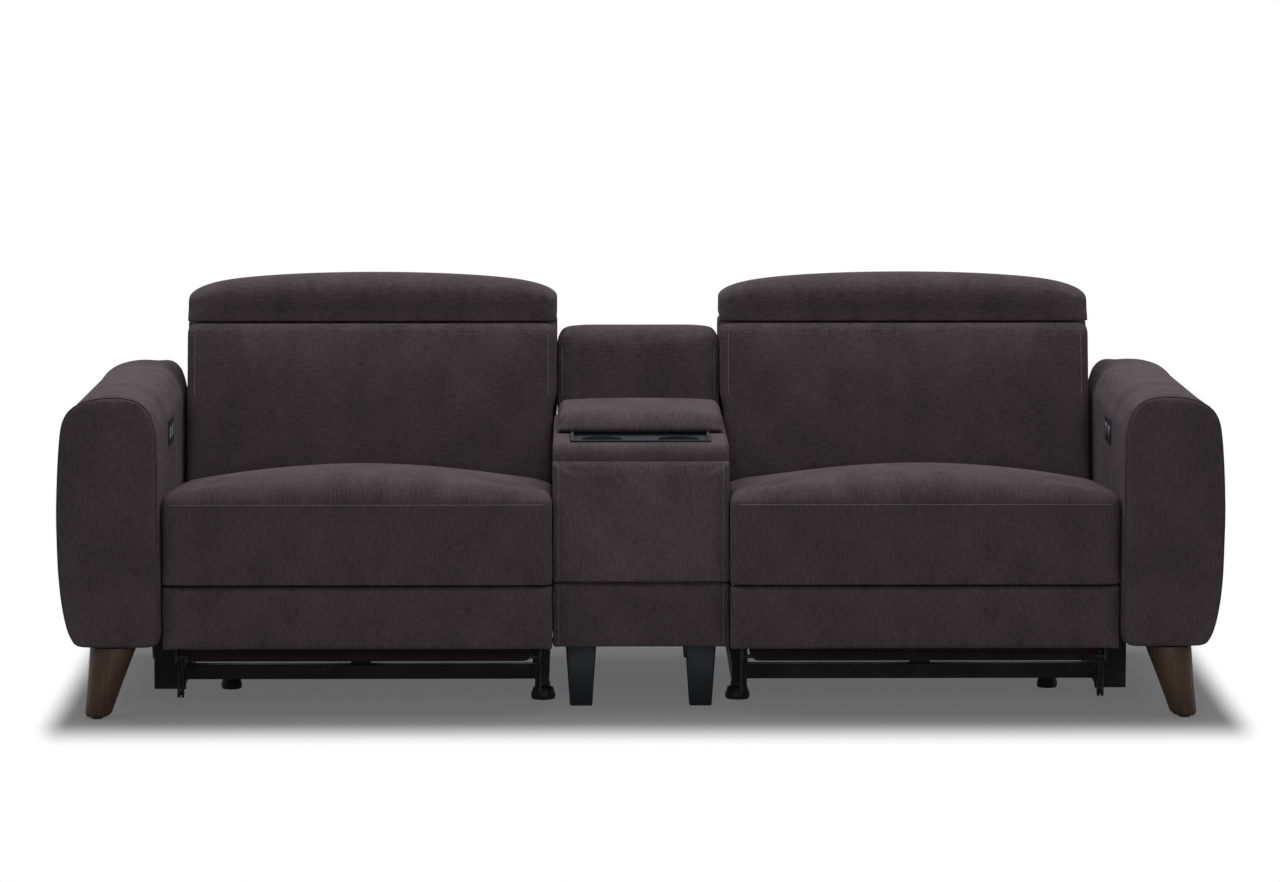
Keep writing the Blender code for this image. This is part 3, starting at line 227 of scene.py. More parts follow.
def fabricMaterial(name, settings):
    material, tree, shader = freshMaterial(name)
    cloth = tree.nodes.new("ShaderNodeUVMap")
    cloth.uv_map = "cloth"
    uv = cloth.outputs["UV"]
    thin, long = settings["slub"]
    wider, narrower = settings["levelSlub"]
    yarn, nap = settings["yarn"], settings["nap"]
    upright = stretchedNoise(tree, uv, (thin, long, 1.0), 3.0, 0.6)
    level = stretchedNoise(tree, uv, (long * wider, thin * narrower, 1.0), 3.0, 0.6)
    fine = stretchedNoise(tree, uv, (yarn, yarn, 1.0), 1.0, 0.5)
    brushed = stretchedNoise(tree, uv, (nap, nap * settings["napStretch"], 1.0), 3.0, 0.55)
    shade = remapped(tree, upright, *settings["slubRange"], *settings["uprightShade"])
    for pattern, part, tone in ((level, "slubRange", "levelShade"), (brushed, "napRange", "napShade"),
                                (fine, "yarnRange", "yarnShade")):
        shade = combined(tree, "ADD", shade, remapped(tree, pattern, *settings[part], *settings[tone]))
    tinted(tree, shader, settings["colour"], shade)
    relief = combined(tree, "ADD", combined(tree, "MULTIPLY", fine, settings["yarnRelief"]),
                      combined(tree, "ADD", upright, level))
    raised(tree, shader, relief, settings["relief"], settings["reliefDepth"])
    fillIn(shader, {
        "Roughness": settings["roughness"], "Specular IOR Level": settings["specular"],
        "Sheen Weight": settings["sheen"], "Sheen Roughness": settings["sheenRoughness"],
        "Sheen Tint": (*settings["sheenTint"], 1.0),
    })
    return material


walnut = {
    "light": (0.046, 0.0245, 0.0128), "dark": (0.0190, 0.0098, 0.0050), "darkUpTo": 0.34, "lightFrom": 0.66,
    "grain": (150.0, 150.0, 9.0), "grainShare": 0.8, "pores": (700.0, 700.0, 26.0), "poreShare": 0.2,
    "poreRange": (0.3, 0.7), "smoothest": 0.47, "roughest": 0.65, "specular": 0.22,
    "relief": 0.15, "reliefDepth": 0.0004,
}


def woodMaterial(name, settings):
    material, tree, shader = freshMaterial(name)
    spot = tree.nodes.new("ShaderNodeTexCoord").outputs["Object"]
    grain = stretchedNoise(tree, spot, settings["grain"], 5.0, 0.62)
    pores = stretchedNoise(tree, spot, settings["pores"], 2.0, 0.5)
    ramp = tree.nodes.new("ShaderNodeValToRGB")
    stops = ramp.color_ramp.elements
    stops[0].position, stops[0].color = settings["darkUpTo"], (*settings["dark"], 1.0)
    stops[1].position, stops[1].color = settings["lightFrom"], (*settings["light"], 1.0)
    mixed = combined(tree, "ADD", combined(tree, "MULTIPLY", grain, settings["grainShare"]),
                     combined(tree, "MULTIPLY", pores, settings["poreShare"]))
    tree.links.new(mixed, ramp.inputs["Fac"])
    tree.links.new(ramp.outputs["Color"], shader.inputs["Base Color"])
    rough = remapped(tree, pores, *settings["poreRange"], settings["smoothest"], settings["roughest"])
    tree.links.new(rough, shader.inputs["Roughness"])
    shader.inputs["Specular IOR Level"].default_value = settings["specular"]
    raised(tree, shader, pores, settings["relief"], settings["reliefDepth"])
    return material


moulding = {"wear": 14.0, "wearRange": (0.3, 0.7), "roughSpread": 0.08, "relief": 0.3, "metalSpecular": 0.5}


def mouldedMaterial(name, colour, roughness, metal, grainScale, grainDepth, spread=0.2, gloss=0.25):
    material, tree, shader = freshMaterial(name)
    spot = tree.nodes.new("ShaderNodeTexCoord").outputs["Object"]
    grain = stretchedNoise(tree, spot, (grainScale,) * 3, 2.0, 0.5)
    wear = stretchedNoise(tree, spot, (moulding["wear"],) * 3, 4.0, 0.6)
    part, rough = moulding["wearRange"], moulding["roughSpread"]
    tinted(tree, shader, colour, remapped(tree, wear, *part, 1.0 - spread, 1.0 + spread))
    worn = remapped(tree, wear, *part, roughness + rough, roughness - rough)
    tree.links.new(worn, shader.inputs["Roughness"])
    fillIn(shader, {"Metallic": metal, "Specular IOR Level": moulding["metalSpecular"] if metal else gloss})
    raised(tree, shader, grain, moulding["relief"], grainDepth)
    return material


# the same chenille made lighter for the console's front panel: painted light
chenillePaintedLighter = dict(chenille, colour=(0.0575, 0.0455, 0.0490))
# the chenille with level slubs, a real pattern, and its colour made darker as painted shade on the backs,
# headrests and console back
levelPileShaded = dict(chenille, colour=(0.0398, 0.0312, 0.0337), slub=(52.0, 330.0))
lining = dict(chenille, colour=(0.0110, 0.0072, 0.0080), sheen=0.08, yarn=900.0, nap=6.0)
blackWood, coatedSteel = (0.0098, 0.0106, 0.0136), (0.0016, 0.0016, 0.0021)
graphite, satinKey = (0.0085, 0.0092, 0.0118), (0.27, 0.27, 0.285)
blackRubber, greyThread = (0.0065, 0.0065, 0.0072), (0.215, 0.200, 0.206)
finishes = {
    "fabric": fabricMaterial("charcoal_chenille", chenille),
    "fabric_level_painted_shade": fabricMaterial("charcoal_chenille_level_shaded", levelPileShaded),
    "fabric_painted_light": fabricMaterial("charcoal_chenille_painted_lighter", chenillePaintedLighter),
    "lining": fabricMaterial("dark_underside_cloth", lining),
    "walnut": woodMaterial("walnut_stain", walnut),
    # name, colour, roughness, metal, grain per metre, grain depth
    "dark_wood": mouldedMaterial("black_stained_wood", blackWood, 0.50, 0.0, 260.0, 0.0002),
    "black_steel": mouldedMaterial("black_coated_steel", coatedSteel, 0.62, 0.0, 420.0, 0.00015),
    "plastic": mouldedMaterial("graphite_moulding", graphite, 0.68, 0.0, 900.0, 0.0001, gloss=0.12),
    "silver": mouldedMaterial("satin_silver_key", satinKey, 0.34, 1.0, 600.0, 0.00005, 0.06),
    "rubber": mouldedMaterial("black_glide", blackRubber, 0.6, 0.0, 500.0, 0.0001),
    "thread": mouldedMaterial("grey_thread", greyThread, 0.8, 0.0, 3000.0, 0.00005),
}
print("materials")


# Shared modelling steps

def sampled(points, spacing):
    # a closed outline with a point about every spacing along its straight runs
    dense = []
    for index, point in enumerate(points):
        start, end = Vector(point), Vector(points[(index + 1) % len(points)])
        count = max(1, round((end - start).length / spacing))
        dense += [tuple(start.lerp(end, step / count)) for step in range(count)]
    return dense


def roundedOutline(corners, radii, spacing):
    points = []
    count = len(corners)
    for index, (corner, radius) in enumerate(zip(corners, radii)):
        corner = Vector(corner)
        before = Vector(corners[index - 1]) - corner
        after = Vector(corners[(index + 1) % count]) - corner
        if radius <= 0.0:
            points.append(tuple(corner))
            continue
        half = before.angle(after) / 2
        # an arc stops short of the middle of either side
        reach = min(radius / math.tan(half), 0.49 * before.length, 0.49 * after.length)
        bend = reach * math.tan(half)
        centre = corner + (before.normalized() + after.normalized()).normalized() * (bend / math.sin(half))
        first = corner + before.normalized() * reach - centre
        last = corner + after.normalized() * reach - centre
        start = math.atan2(first.y, first.x)
        sweep = (math.atan2(last.y, last.x) - start + math.pi) % (2 * math.pi) - math.pi
        steps = max(3, round(abs(sweep) * bend / spacing) + 1)
        for step in range(steps + 1):
            turn = start + sweep * step / steps
            points.append((centre.x + bend * math.cos(turn), centre.y + bend * math.sin(turn)))
    return sampled(points, spacing)


def smoothOutline(points, spacing):
    # a closed Catmull-Rom curve through a few chosen points
    dense = []
    count = len(points)
    for index in range(count):
        a, b, c, d = (Vector(points[(index + step) % count]) for step in (-1, 0, 1, 2))
        steps = max(2, round((c - b).length / spacing))
        for step in range(steps):
            t = step / steps
            point = 0.5 * (2 * b + (c - a) * t + (2 * a - 5 * b + 4 * c - d) * t * t
                           + (3 * b - a - 3 * c + d) * t ** 3)
            dense.append(tuple(point))
    return dense


def drawnIn(outline, amount, share=None):
    # the outline moved inwards along its own normals, less where share is below 1
    area = sum(a[0] * b[1] - b[0] * a[1] for a, b in zip(outline, outline[1:] + outline[:1]))
    turn = 1.0 if area > 0 else -1.0
    moved = []
    for index, point in enumerate(outline):
        before, after = Vector(outline[index - 1]), Vector(outline[(index + 1) % len(outline)])
        along = (after - before).normalized()
        reach = turn * amount * (share(point) if share else 1.0)
        moved.append((point[0] - along.y * reach, point[1] + along.x * reach))
    return moved


def roundedEnds(low, high, radius, spacing, steps=5):
    # stations from end to end, each with how far the section is drawn in there
    ends = []
    for step in range(steps):
        turn = math.radians(90.0 * step / steps)
        ends.append((low + radius * (1 - math.cos(turn)), radius * (1 - math.sin(turn))))
    count = max(2, round((high - low - 2 * radius) / spacing))
    middle = [(low + radius + (high - low - 2 * radius) * step / count, 0.0) for step in range(count + 1)]
    return ends + middle + [(low + high - x, draw) for x, draw in reversed(ends)]


endInset = 0.004  # evens out the mesh of a flat end
endFacing = 0.72  # a face this square to the run counts as part of its end


def carried(name, rings, axis, finish, insets=(endInset,)):
    # one face of the first ring is extruded from ring to ring, and the ends are inset to keep their mesh even
    shape = bmesh.new()
    along = shape.verts.layers.float.new("along")
    around = shape.verts.layers.float.new("around")
    runs = [0.0]
    for a, b in zip(rings[0], rings[0][1:] + rings[0][:1]):
        runs.append(runs[-1] + (Vector(b) - Vector(a)).length)
    verts = [shape.verts.new(point) for point in rings[0]]
    last = shape.faces.new(verts)
    first = None
    travel = 0.0
    for vert, run in zip(verts, runs):
        vert[around] = run
    for step, ring in enumerate(rings[1:]):
        order = {tuple(vert.co): index for index, vert in enumerate(verts)}
        grown = bmesh.ops.extrude_face_region(shape, geom=[last])["geom"]
        if step == 0:
            first = last
        elif last.is_valid:
            bmesh.ops.delete(shape, geom=[last], context="FACES_ONLY")
        last = [item for item in grown if isinstance(item, bmesh.types.BMFace)][0]
        verts = sorted(last.verts, key=lambda vert: order[tuple(vert.co)])
        travel += (Vector(ring[0]) - Vector(rings[step][0])).length
        for vert, point, run in zip(verts, ring, runs):
            vert.co = point
            vert[along] = travel
            vert[around] = run
    for end in (first, last):
        for inset in insets:
            bmesh.ops.inset_region(shape, faces=[end], thickness=inset, depth=0.0)
    bmesh.ops.triangulate(shape, faces=[first, last], ngon_method="BEAUTY")
    bmesh.ops.recalc_face_normals(shape, faces=shape.faces)
    shape.normal_update()
    inOrder(shape)
    layUv(shape, axis, along, around, runs[-1])
    piece = finished(name, shape, finish)
    for edge in piece.data.edges:
        edge.vertices = sorted(edge.vertices)
    return piece


def inOrder(shape):
    # extruding numbers its elements anew in each run; in a fixed order the cloth settles the same way each time
    def sort(parts, key):
        order = {item: index for index, item in enumerate(sorted(parts, key=key))}
        parts.sort(key=order.get)
        parts.index_update()

    sort(shape.verts, lambda vert: tuple(vert.co))
    sort(shape.edges, lambda edge: sorted(vert.index for vert in edge.verts))
    sort(shape.faces, lambda face: sorted(vert.index for vert in face.verts))


def lofted(name, settings, outline, low, high, finish, share=None, move=None, insets=(endInset,)):
    # an outline in y and z carried along x between two rounded ends, then moved point by point
    rings = []
    for x, draw in roundedEnds(low, high, settings["endRound"], settings["spacing"]):
        if "sideSeam" in settings:  # the seam that runs round the piece near each end
            fromEnd = min(x - low, high - x)
            draw += groove(fromEnd - settings["sideSeam"], settings["seamWidth"], settings["seamDepth"])
        rings.append([move(x, y, z) if move else (x, y, z) for y, z in drawnIn(outline, draw, share)])
    return carried(name, rings, 0, finish, insets)


def towardsSpine(ring, across, low, high, share):
    # the ring drawn towards an upright line inside it, for a face that fills without folds
    moved = []
    for x, y, z in ring:
        nearest = Vector((across, y, within(z, low, high)))
        moved.append(tuple(Vector((x, y, z)).lerp(nearest, share)))
    return moved


def layUv(shape, axis, along, around, total):
    # cloth runs across and along the form in metres; the ends are laid flat
    uv = shape.loops.layers.uv.new("cloth")
    flat = [index for index in range(3) if index != axis]
    for face in shape.faces:
        face.smooth = True
        level = abs(face.normal[axis]) > endFacing
        runs = [loop.vert[around] for loop in face.loops]
        wraps = max(runs) - min(runs) > total / 2
        for loop, run in zip(face.loops, runs):
            if level:
                loop[uv].uv = (loop.vert.co[flat[0]], loop.vert.co[flat[1]])
            else:
                run = run + total if wraps and run < total / 2 else run
                loop[uv].uv = (loop.vert[along], run) if axis == 0 else (run, loop.vert[along])


def layUpright(shape):
    uv = shape.loops.layers.uv.new("cloth")
    for face in shape.faces:
        for loop in face.loops:
            loop[uv].uv = (loop.vert.co.x + loop.vert.co.y, loop.vert.co.z)


def finished(name, shape, finish):
    mesh = bpy.data.meshes.new(name)
    shape.to_mesh(mesh)
    shape.free()
    mesh.materials.append(finishes[finish])
    piece = bpy.data.objects.new(name, mesh)
    scene.collection.objects.link(piece)
    return piece


def addSubdivision(piece):
    finer = piece.modifiers.new("finer", "SUBSURF")
    finer.levels = 1
    finer.render_levels = 1


padding = {
    "frames": 18, "quality": 4, "mass": 0.35, "stiffness": 18.0, "shear": 9.0, "bending": 1.2,
    "easing": 0.4,  # how far the mesh is smoothed afterwards
}


def padOut(piece, settings, sewn, sides):
    # cloth under pressure, held where it is sewn, so the fabric swells between its seams
    mesh = piece.data
    start = [vert.co.copy() for vert in mesh.vertices]
    group = piece.vertex_groups.new(name="sewn")
    group.add([vert.index for vert in mesh.vertices if sewn(vert.co)], 1.0, "REPLACE")
    cloth = piece.modifiers.new("padding", "CLOTH")
    cloth.settings.quality = padding["quality"]
    cloth.settings.mass = padding["mass"]
    cloth.settings.tension_stiffness = padding["stiffness"]
    cloth.settings.compression_stiffness = padding["stiffness"]
    cloth.settings.shear_stiffness = padding["shear"]
    cloth.settings.bending_stiffness = padding["bending"]
    cloth.settings.use_pressure = True
    cloth.settings.uniform_pressure_force = settings["pressure"]
    cloth.settings.effector_weights.gravity = 0.0
    cloth.settings.vertex_group_mass = "sewn"
    cloth.point_cache.frame_start = 1
    cloth.point_cache.frame_end = padding["frames"]
    for moment in range(1, padding["frames"] + 1):
        scene.frame_set(moment)
    settled = piece.evaluated_get(bpy.context.evaluated_depsgraph_get()).to_mesh()
    moved = [vert.co.copy() for vert in settled.vertices]
    piece.modifiers.remove(cloth)
    piece.vertex_groups.clear()
    for vert, before, after in zip(mesh.vertices, start, moved):
        step = after - before
        vert.co = before + step * min(1.0, settings["puff"] / max(step.length, 1e-9))
        vert.co.x = within(vert.co.x, *sides)
    scene.frame_set(1)


def eased(piece, keep=None):
    shape = bmesh.new()
    shape.from_mesh(piece.data)
    chosen = [vert for vert in shape.verts if keep is None or not keep(vert.co)]
    bmesh.ops.smooth_vert(shape, verts=chosen, factor=padding["easing"],
                          use_axis_x=True, use_axis_y=True, use_axis_z=True)
    shape.to_mesh(piece.data)
    shape.free()


def mirrorCopy(piece, name):
    shape = bmesh.new()
    shape.from_mesh(piece.data)
    bmesh.ops.scale(shape, vec=(-1.0, 1.0, 1.0), verts=shape.verts)
    bmesh.ops.reverse_faces(shape, faces=shape.faces)
    mesh = bpy.data.meshes.new(name)
    shape.to_mesh(mesh)
    shape.free()
    for material in piece.data.materials:
        mesh.materials.append(material)
    twin = bpy.data.objects.new(name, mesh)
    scene.collection.objects.link(twin)
    if piece.modifiers:
        addSubdivision(twin)
    return twin


def place(piece, body, node=None):
    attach(piece, body)
    if node:
        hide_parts(node)


def bothSides(piece, baseName, body, node=None):
    # the piece made for the right-hand seat, and its mirror image for the left
    piece.name = baseName + "_right"
    twin = mirrorCopy(piece, baseName + "_left")
    for side, item in (("right", piece), ("left", twin)):
        rides = body if body == "frame" else f"{body}_{side}"
        place(item, rides, f"{node}_{side}" if node else None)
    return twin


stitchShape = {
    "pitch": 0.0054, "length": 0.0034, "width": 0.0012, "height": 0.0008, "lift": 0.3,
    "standOff": 0.15, "search": 0.4, "longest": 3,  # the longest step, in pitches, that a stitch may span
}


def stitchRow(shape, tree, start, end):
    # small raised stitches laid on a surface along a straight run seen from the front
    pitch, height = stitchShape["pitch"], stitchShape["height"]
    start, end, inwards = Vector(start), Vector(end), Vector((0, 1, 0))
    count = max(1, round((end - start).length / pitch))
    hits = []
    for step in range(count + 1):
        point = start.lerp(end, step / count) - inwards * stitchShape["standOff"]
        hits.append(tree.ray_cast(point, inwards, stitchShape["search"])[:2])
    size = Matrix.Diagonal((stitchShape["length"] / 2, stitchShape["width"] / 2, height, 1.0))
    for (here, normal), (there, _) in zip(hits, hits[1:]):
        if here is None or there is None or (there - here).length > stitchShape["longest"] * pitch:
            continue
        along = (there - here).normalized()
        side = normal.cross(along).normalized()
        turn = Matrix((along, side, along.cross(side))).transposed().to_4x4()
        middle = Matrix.Translation((here + there) / 2 + normal * height * stitchShape["lift"])
        bmesh.ops.create_uvsphere(shape, u_segments=6, v_segments=4, radius=1.0, matrix=middle @ turn @ size)


def sewThread(name, piece, body, rows):
    surface = bmesh.new()
    surface.from_mesh(piece.data)
    tree = BVHTree.FromBMesh(surface)
    surface.free()
    shape = bmesh.new()
    for row in rows:
        stitchRow(shape, tree, *row)
    for face in shape.faces:
        face.smooth = True
    place(finished(name, shape, "thread"), body)


def sewBothSides(baseName, piece, twin, body, rows):
    for side, turn, item in (("right", 1, piece), ("left", -1, twin)):
        turned = [[(turn * x, y, z) for x, y, z in row] for row in rows]
        sewThread(f"{baseName}_{side}", item, f"{body}_{side}", turned)


def welt(name, points, radius, finish):
    # a sewn-in cord along a closed run of points
    curve = bpy.data.curves.new(name, "CURVE")
    curve.dimensions = "3D"
    curve.bevel_depth = radius
    curve.bevel_resolution = 2
    run = curve.splines.new("POLY")
    run.points.add(len(points) - 1)
    for spot, point in zip(run.points, points):
        spot.co = (*point, 1.0)
    run.use_cyclic_u = True
    holder = bpy.data.objects.new(name, curve)
    scene.collection.objects.link(holder)
    shape = bmesh.new()
    shape.from_mesh(holder.to_mesh())
    bpy.data.objects.remove(holder)
    for layer in list(shape.loops.layers.uv.values()):
        shape.loops.layers.uv.remove(layer)
    layUpright(shape)
    for face in shape.faces:
        face.smooth = True
    return finished(name, shape, finish)


def groove(distance, width, depth):
    # how far a sewn line pulls the fabric in, at a distance from it
    return depth * math.exp(-(distance / width) ** 2)


def boxShape(low, high):
    shape = bmesh.new()
    bmesh.ops.create_cube(shape, size=1.0)
    bmesh.ops.scale(shape, vec=high - low, verts=shape.verts)
    bmesh.ops.translate(shape, vec=(low + high) / 2, verts=shape.verts)
    return shape


# Arms

armShape = {
    "spacing": 0.011, "rowSpacing": 0.014, "roundedRuns": 0.038, "fill": 0.8, "pressure": 2.0, "puff": 0.0035,
    "rearDrop": 0.012, "rearFill": 0.0150, "fillReach": 0.062, "fillRate": 1.6,
    "shoulderFoot": 0.45, "shoulderRise": 0.15, "outerRoom": 0.004,
    "seam": 0.012, "seamHold": 0.002, "footHold": 0.012, "rearHold": 0.012,
    "spine": 0.102, "spineFoot": 0.24, "spineTop": 0.56, "faceShares": (0.12, 0.26, 0.42, 0.58, 0.74, 0.90),
    "weltInset": 0.0038, "weltRadius": 0.0021, "weltForward": 0.0022,
    # (distance, how far the section is drawn in): behind the front, behind the seam, before the rear
    "frontRound": [(0.0, 0.0115), (0.0012, 0.0075), (0.0040, 0.0045), (0.0080, 0.0036)],
    "seamRound": [(0.0, 0.0062), (0.003, 0.0030), (0.008, 0.0006), (0.018, 0.0)],
    "rearRound": [(0.020, 0.0), (0.010, 0.003), (0.003, 0.009), (0.0, 0.016)],
    # (across from the inner face, height above the floor), from the inner foot round over the top
    "section": [
        (0.000, 0.170), (0.000, 0.30), (0.000, 0.44), (0.0005, 0.555), (0.005, 0.597), (0.017, 0.627),
        (0.036, 0.6455), (0.062, 0.6540), (0.095, 0.6560), (0.128, 0.6525), (0.158, 0.6430),
        (0.180, 0.6270), (0.1935, 0.6030), (0.2000, 0.5650), (0.2050, 0.4950), (0.2075, 0.4200),
        (0.2065, 0.3500), (0.2045, 0.2850), (0.1990, 0.2300), (0.1900, 0.1850), (0.1790, 0.1580),
        (0.1670, 0.1465), (0.1420, 0.1435), (0.0800, 0.1435), (0.0240, 0.1435), (0.0070, 0.1510),
    ],
}


def makeArm():
    inner, length, seam = armLow.x, armHigh.y - armLow.y, armShape["seam"]
    section = [(inner + across, height) for across, height in armShape["section"]]
    outline = smoothOutline(section, armShape["spacing"])
    stations = armShape["frontRound"] + [(seam + run, draw) for run, draw in armShape["seamRound"]]
    start, straight = stations[-1][0], length - seam - armShape["roundedRuns"]
    count = round(straight / armShape["rowSpacing"])
    stations += [(start + straight * step / count, 0.0) for step in range(1, count)]
    stations += [(length - run, draw) for run, draw in armShape["rearRound"]]
    rings = []
    for depth, draw in stations:
        fall = armShape["rearDrop"] * depth / length
        fill = armShape["rearFill"] * min(1.0, depth / length * armShape["fillRate"])
        ring = []
        for x, z in drawnIn(outline, draw):
            upper = within((z - armShape["shoulderFoot"]) / armShape["shoulderRise"])
            shoulder = max(0.0, 1 - ((x - inner) / armShape["fillReach"]) ** 2)
            ring.append((x, frontY + depth, z - fall * upper + fill * shoulder * upper ** 2))
        rings.append(ring)
    front, middle = rings[0], inner + armShape["spine"]
    for share in armShape["faceShares"]:
        rings.insert(0, towardsSpine(front, middle, armShape["spineFoot"], armShape["spineTop"], share))
    arm = carried("arm", rings, 1, "fabric", ())
    seamY = frontY + seam

    def sewn(point):
        atEnds = point.z < armLow.z + armShape["footHold"] or point.y > armHigh.y - armShape["rearHold"]
        return abs(point.y - seamY) < armShape["seamHold"] or atEnds

    padOut(arm, armShape, sewn, (inner, cadHigh.x + armShape["outerRoom"]))
    eased(arm, sewn)
    addSubdivision(arm)
    bothSides(arm, "arm_pad", "frame", "arm")
    run = [(x, seamY - armShape["weltForward"], z) for x, z in drawnIn(outline, armShape["weltInset"])]
    bothSides(welt("welt", run, armShape["weltRadius"], "fabric"), "arm_welt", "frame")
    print("arms")


# Seats and footrests

padFront = 0.003  # how far the padded fronts start behind the solids, to swell out to them
innerSide, outerSide = 0.0012, 0.0008  # how far seat and footrest reach past the solids at their sides

seatShape = {
    "spacing": 0.012, "endRound": 0.014, "fill": 0.75, "pressure": 2.0, "puff": 0.005,
    "frontRound": 0.036, "rearRound": 0.018, "underRound": 0.018, "notchRound": 0.004, "footRound": 0.008,
    "edge": 0.460, "rearDrop": 0.050, "underside": 0.309, "rollDepth": 0.062,
    "footRise": 0.03, "footShare": 0.35,  # the ends are drawn in less towards the foot
    "crown": 0.056, "crownSides": 1.9, "crownLift": 1.6, "crownFront": 0.12, "crownRun": 0.78,
    "seamHeight": 0.4370, "seamWidth": 0.0035, "seamDepth": 0.0028, "faceDepth": 0.03,
    "seamHold": 0.004, "faceHold": 0.02, "footHold": 0.012, "rearHold": 0.01, "rearHoldTop": 0.40,
    "stitchHeight": 0.4315, "stitchInset": 0.016,
}


def makeSeat():
    front, rear, bottom = seatLow.y + padFront, seatHigh.y, seatLow.z
    edge, underside, roll = seatShape["edge"], seatShape["underside"], front + seatShape["rollDepth"]
    corners = [
        (front, bottom), (front, edge), (rear, edge - seatShape["rearDrop"]), (rear, underside),
        (roll, underside), (roll, bottom),
    ]
    rounds = ("footRound", "frontRound", "rearRound", "underRound", "notchRound", "footRound")
    outline = roundedOutline(corners, [seatShape[name] for name in rounds], seatShape["spacing"])
    low, high = seatLow.x - innerSide, seatHigh.x + outerSide

    def footShare(point):
        return within((point[1] - bottom) / seatShape["footRise"], seatShape["footShare"])

    def crowned(x, y, z):
        u = (2 * x - low - high) / (high - low)
        share = within((y - front) / (rear - front))
        lift = within((z - underside) / (edge - underside))
        swell = math.sin(math.pi * min(1.0, seatShape["crownFront"] + seatShape["crownRun"] * share))
        rise = seatShape["crown"] * (1 - abs(u) ** seatShape["crownSides"]) * swell
        face = max(0.0, 1.0 - (y - front) / seatShape["faceDepth"])
        y += face * groove(z - seatShape["seamHeight"], seatShape["seamWidth"], seatShape["seamDepth"])
        return x, y, z + lift ** seatShape["crownLift"] * rise

    seat = lofted("seat", seatShape, outline, low, high, "fabric", footShare, crowned)

    def sewn(point):
        onSeam = abs(point.z - seatShape["seamHeight"]) < seatShape["seamHold"]
        onFront = point.y < front + seatShape["faceHold"] and onSeam
        below = point.z < underside + seatShape["seamHold"] and point.y > front + seatShape["faceDepth"]
        behind = point.y > rear - seatShape["rearHold"] and point.z < seatShape["rearHoldTop"]
        return onFront or below or point.z < bottom + seatShape["footHold"] or behind

    padOut(seat, seatShape, sewn, (low, high))
    eased(seat, sewn)
    addSubdivision(seat)
    twin = bothSides(seat, "seat_pad", "seat", "seat_cushion")
    inset, level = seatShape["stitchInset"], seatShape["stitchHeight"]
    row = ((low + inset, front, level), (high - inset, front, level))
    sewBothSides("seat_stitches", seat, twin, "seat", [row])
    makeSideBoard(low)
    print("seats")


boardShape = {
    "inset": 0.0002, "thickness": 0.006, "bottom": 0.140, "front": 0.066, "rear": 0.03, "overlap": 0.01,
    "soften": 0.0016,
}


def makeSideBoard(low):
    # the cloth-covered rail that closes the seat's side next to the console
    start = Vector((low + boardShape["inset"], seatLow.y + boardShape["front"], boardShape["bottom"]))
    end = Vector((start.x + boardShape["thickness"], seatHigh.y - boardShape["rear"],
                  seatShape["underside"] + boardShape["overlap"]))
    shape = boxShape(start, end)
    bmesh.ops.bevel(shape, geom=shape.edges, offset=boardShape["soften"], segments=2, profile=0.5,
                    affect="EDGES", material=-1)
    layUpright(shape)
    bothSides(finished("board", shape, "lining"), "seat_side_rail", "seat")


footShape = {
    "spacing": 0.011, "endRound": 0.006, "fill": 0.8, "pressure": 1.6, "puff": 0.004,
    "frontRound": 0.008, "rearRound": 0.007, "closer": 0.0040, "rearHold": 0.010,
}


def makeFootrest():
    front, rear, bottom, top = footLow.y + padFront, footHigh.y, footLow.z, footHigh.z + footShape["closer"]
    corners = [(front, bottom), (front, top), (rear, top), (rear, bottom)]
    rounds = [footShape["frontRound"]] * 2 + [footShape["rearRound"]] * 2
    outline = roundedOutline(corners, rounds, footShape["spacing"])
    low, high = footLow.x - innerSide, footHigh.x + outerSide
    pad = lofted("footrest", footShape, outline, low, high, "fabric")
    padOut(pad, footShape, lambda point: point.y > front + footShape["rearHold"], (low, high))
    eased(pad)
    addSubdivision(pad)
    bothSides(pad, "footrest_pad", "footrest", "footrest_panel")
    print("footrests")


flapShape = {
    "spacing": 0.012, "endRound": 0.007, "endSteps": 4, "fill": 0.6,
    "lowRound": 0.020, "topRound": 0.009, "drop": 0.004,
}


def makeFlap():
    bottom, top = flapLow.z - flapShape["drop"], flapHigh.z
    corners = [(flapLow.x, bottom), (flapHigh.x, bottom), (flapHigh.x, top), (flapLow.x, top)]
    rounds = [flapShape["lowRound"]] * 2 + [flapShape["topRound"]] * 2
    outline = roundedOutline(corners, rounds, flapShape["spacing"])
    rings = []
    for y, draw in roundedEnds(flapLow.y, flapHigh.y, flapShape["endRound"], flapShape["spacing"],
                               flapShape["endSteps"]):
        rings.append([(x, y, z) for x, z in drawnIn(outline, draw)])
    pad = carried("flap", rings, 1, "lining")
    addSubdivision(pad)
    bothSides(pad, "flap_pad", "flap", "footrest_flap")
    print("flaps")


# Backs and headrests

backShape = {
    "spacing": 0.012, "endRound": 0.017, "fill": 0.7, "pressure": 1.8, "puff": 0.006,
    "lean": 15.0, "behindSeat": 0.0035, "lower": 0.030, "padLow": 0.143, "padTop": 0.112,
    "lowEnd": 0.184, "highEnd": 0.9640,
    "footRound": 0.0215, "topRound": 0.034, "rearRound": 0.021,
    "swell": 0.012, "swellFoot": 0.1, "swellRun": 0.8, "swellRear": 0.3,
    "rim": 0.0040, "rimPlace": 0.010, "rimReach": 0.016, "rimHeight": 0.03,
    # it widens towards the console above the tray
    "wing": 0.0095, "wingStart": 0.006, "wingRamp": 0.026, "wingReach": 0.2,
    "sideSeam": 0.014, "seamWidth": 0.003, "seamDepth": 0.0022,
    "seamHold": 0.003, "topHold": 0.010, "rearHold": 0.02,
    "innerStitch": 0.004, "outerStitch": 0.003, "stitchStart": 0.2, "stitchEnd": 0.02, "stitchFront": 0.02,
}
backFoot = seatHigh.y + backShape["behindSeat"]


def backFrontAt(height):
    return backFoot + max(0.0, height - backLow.z) * math.tan(math.radians(backShape["lean"]))


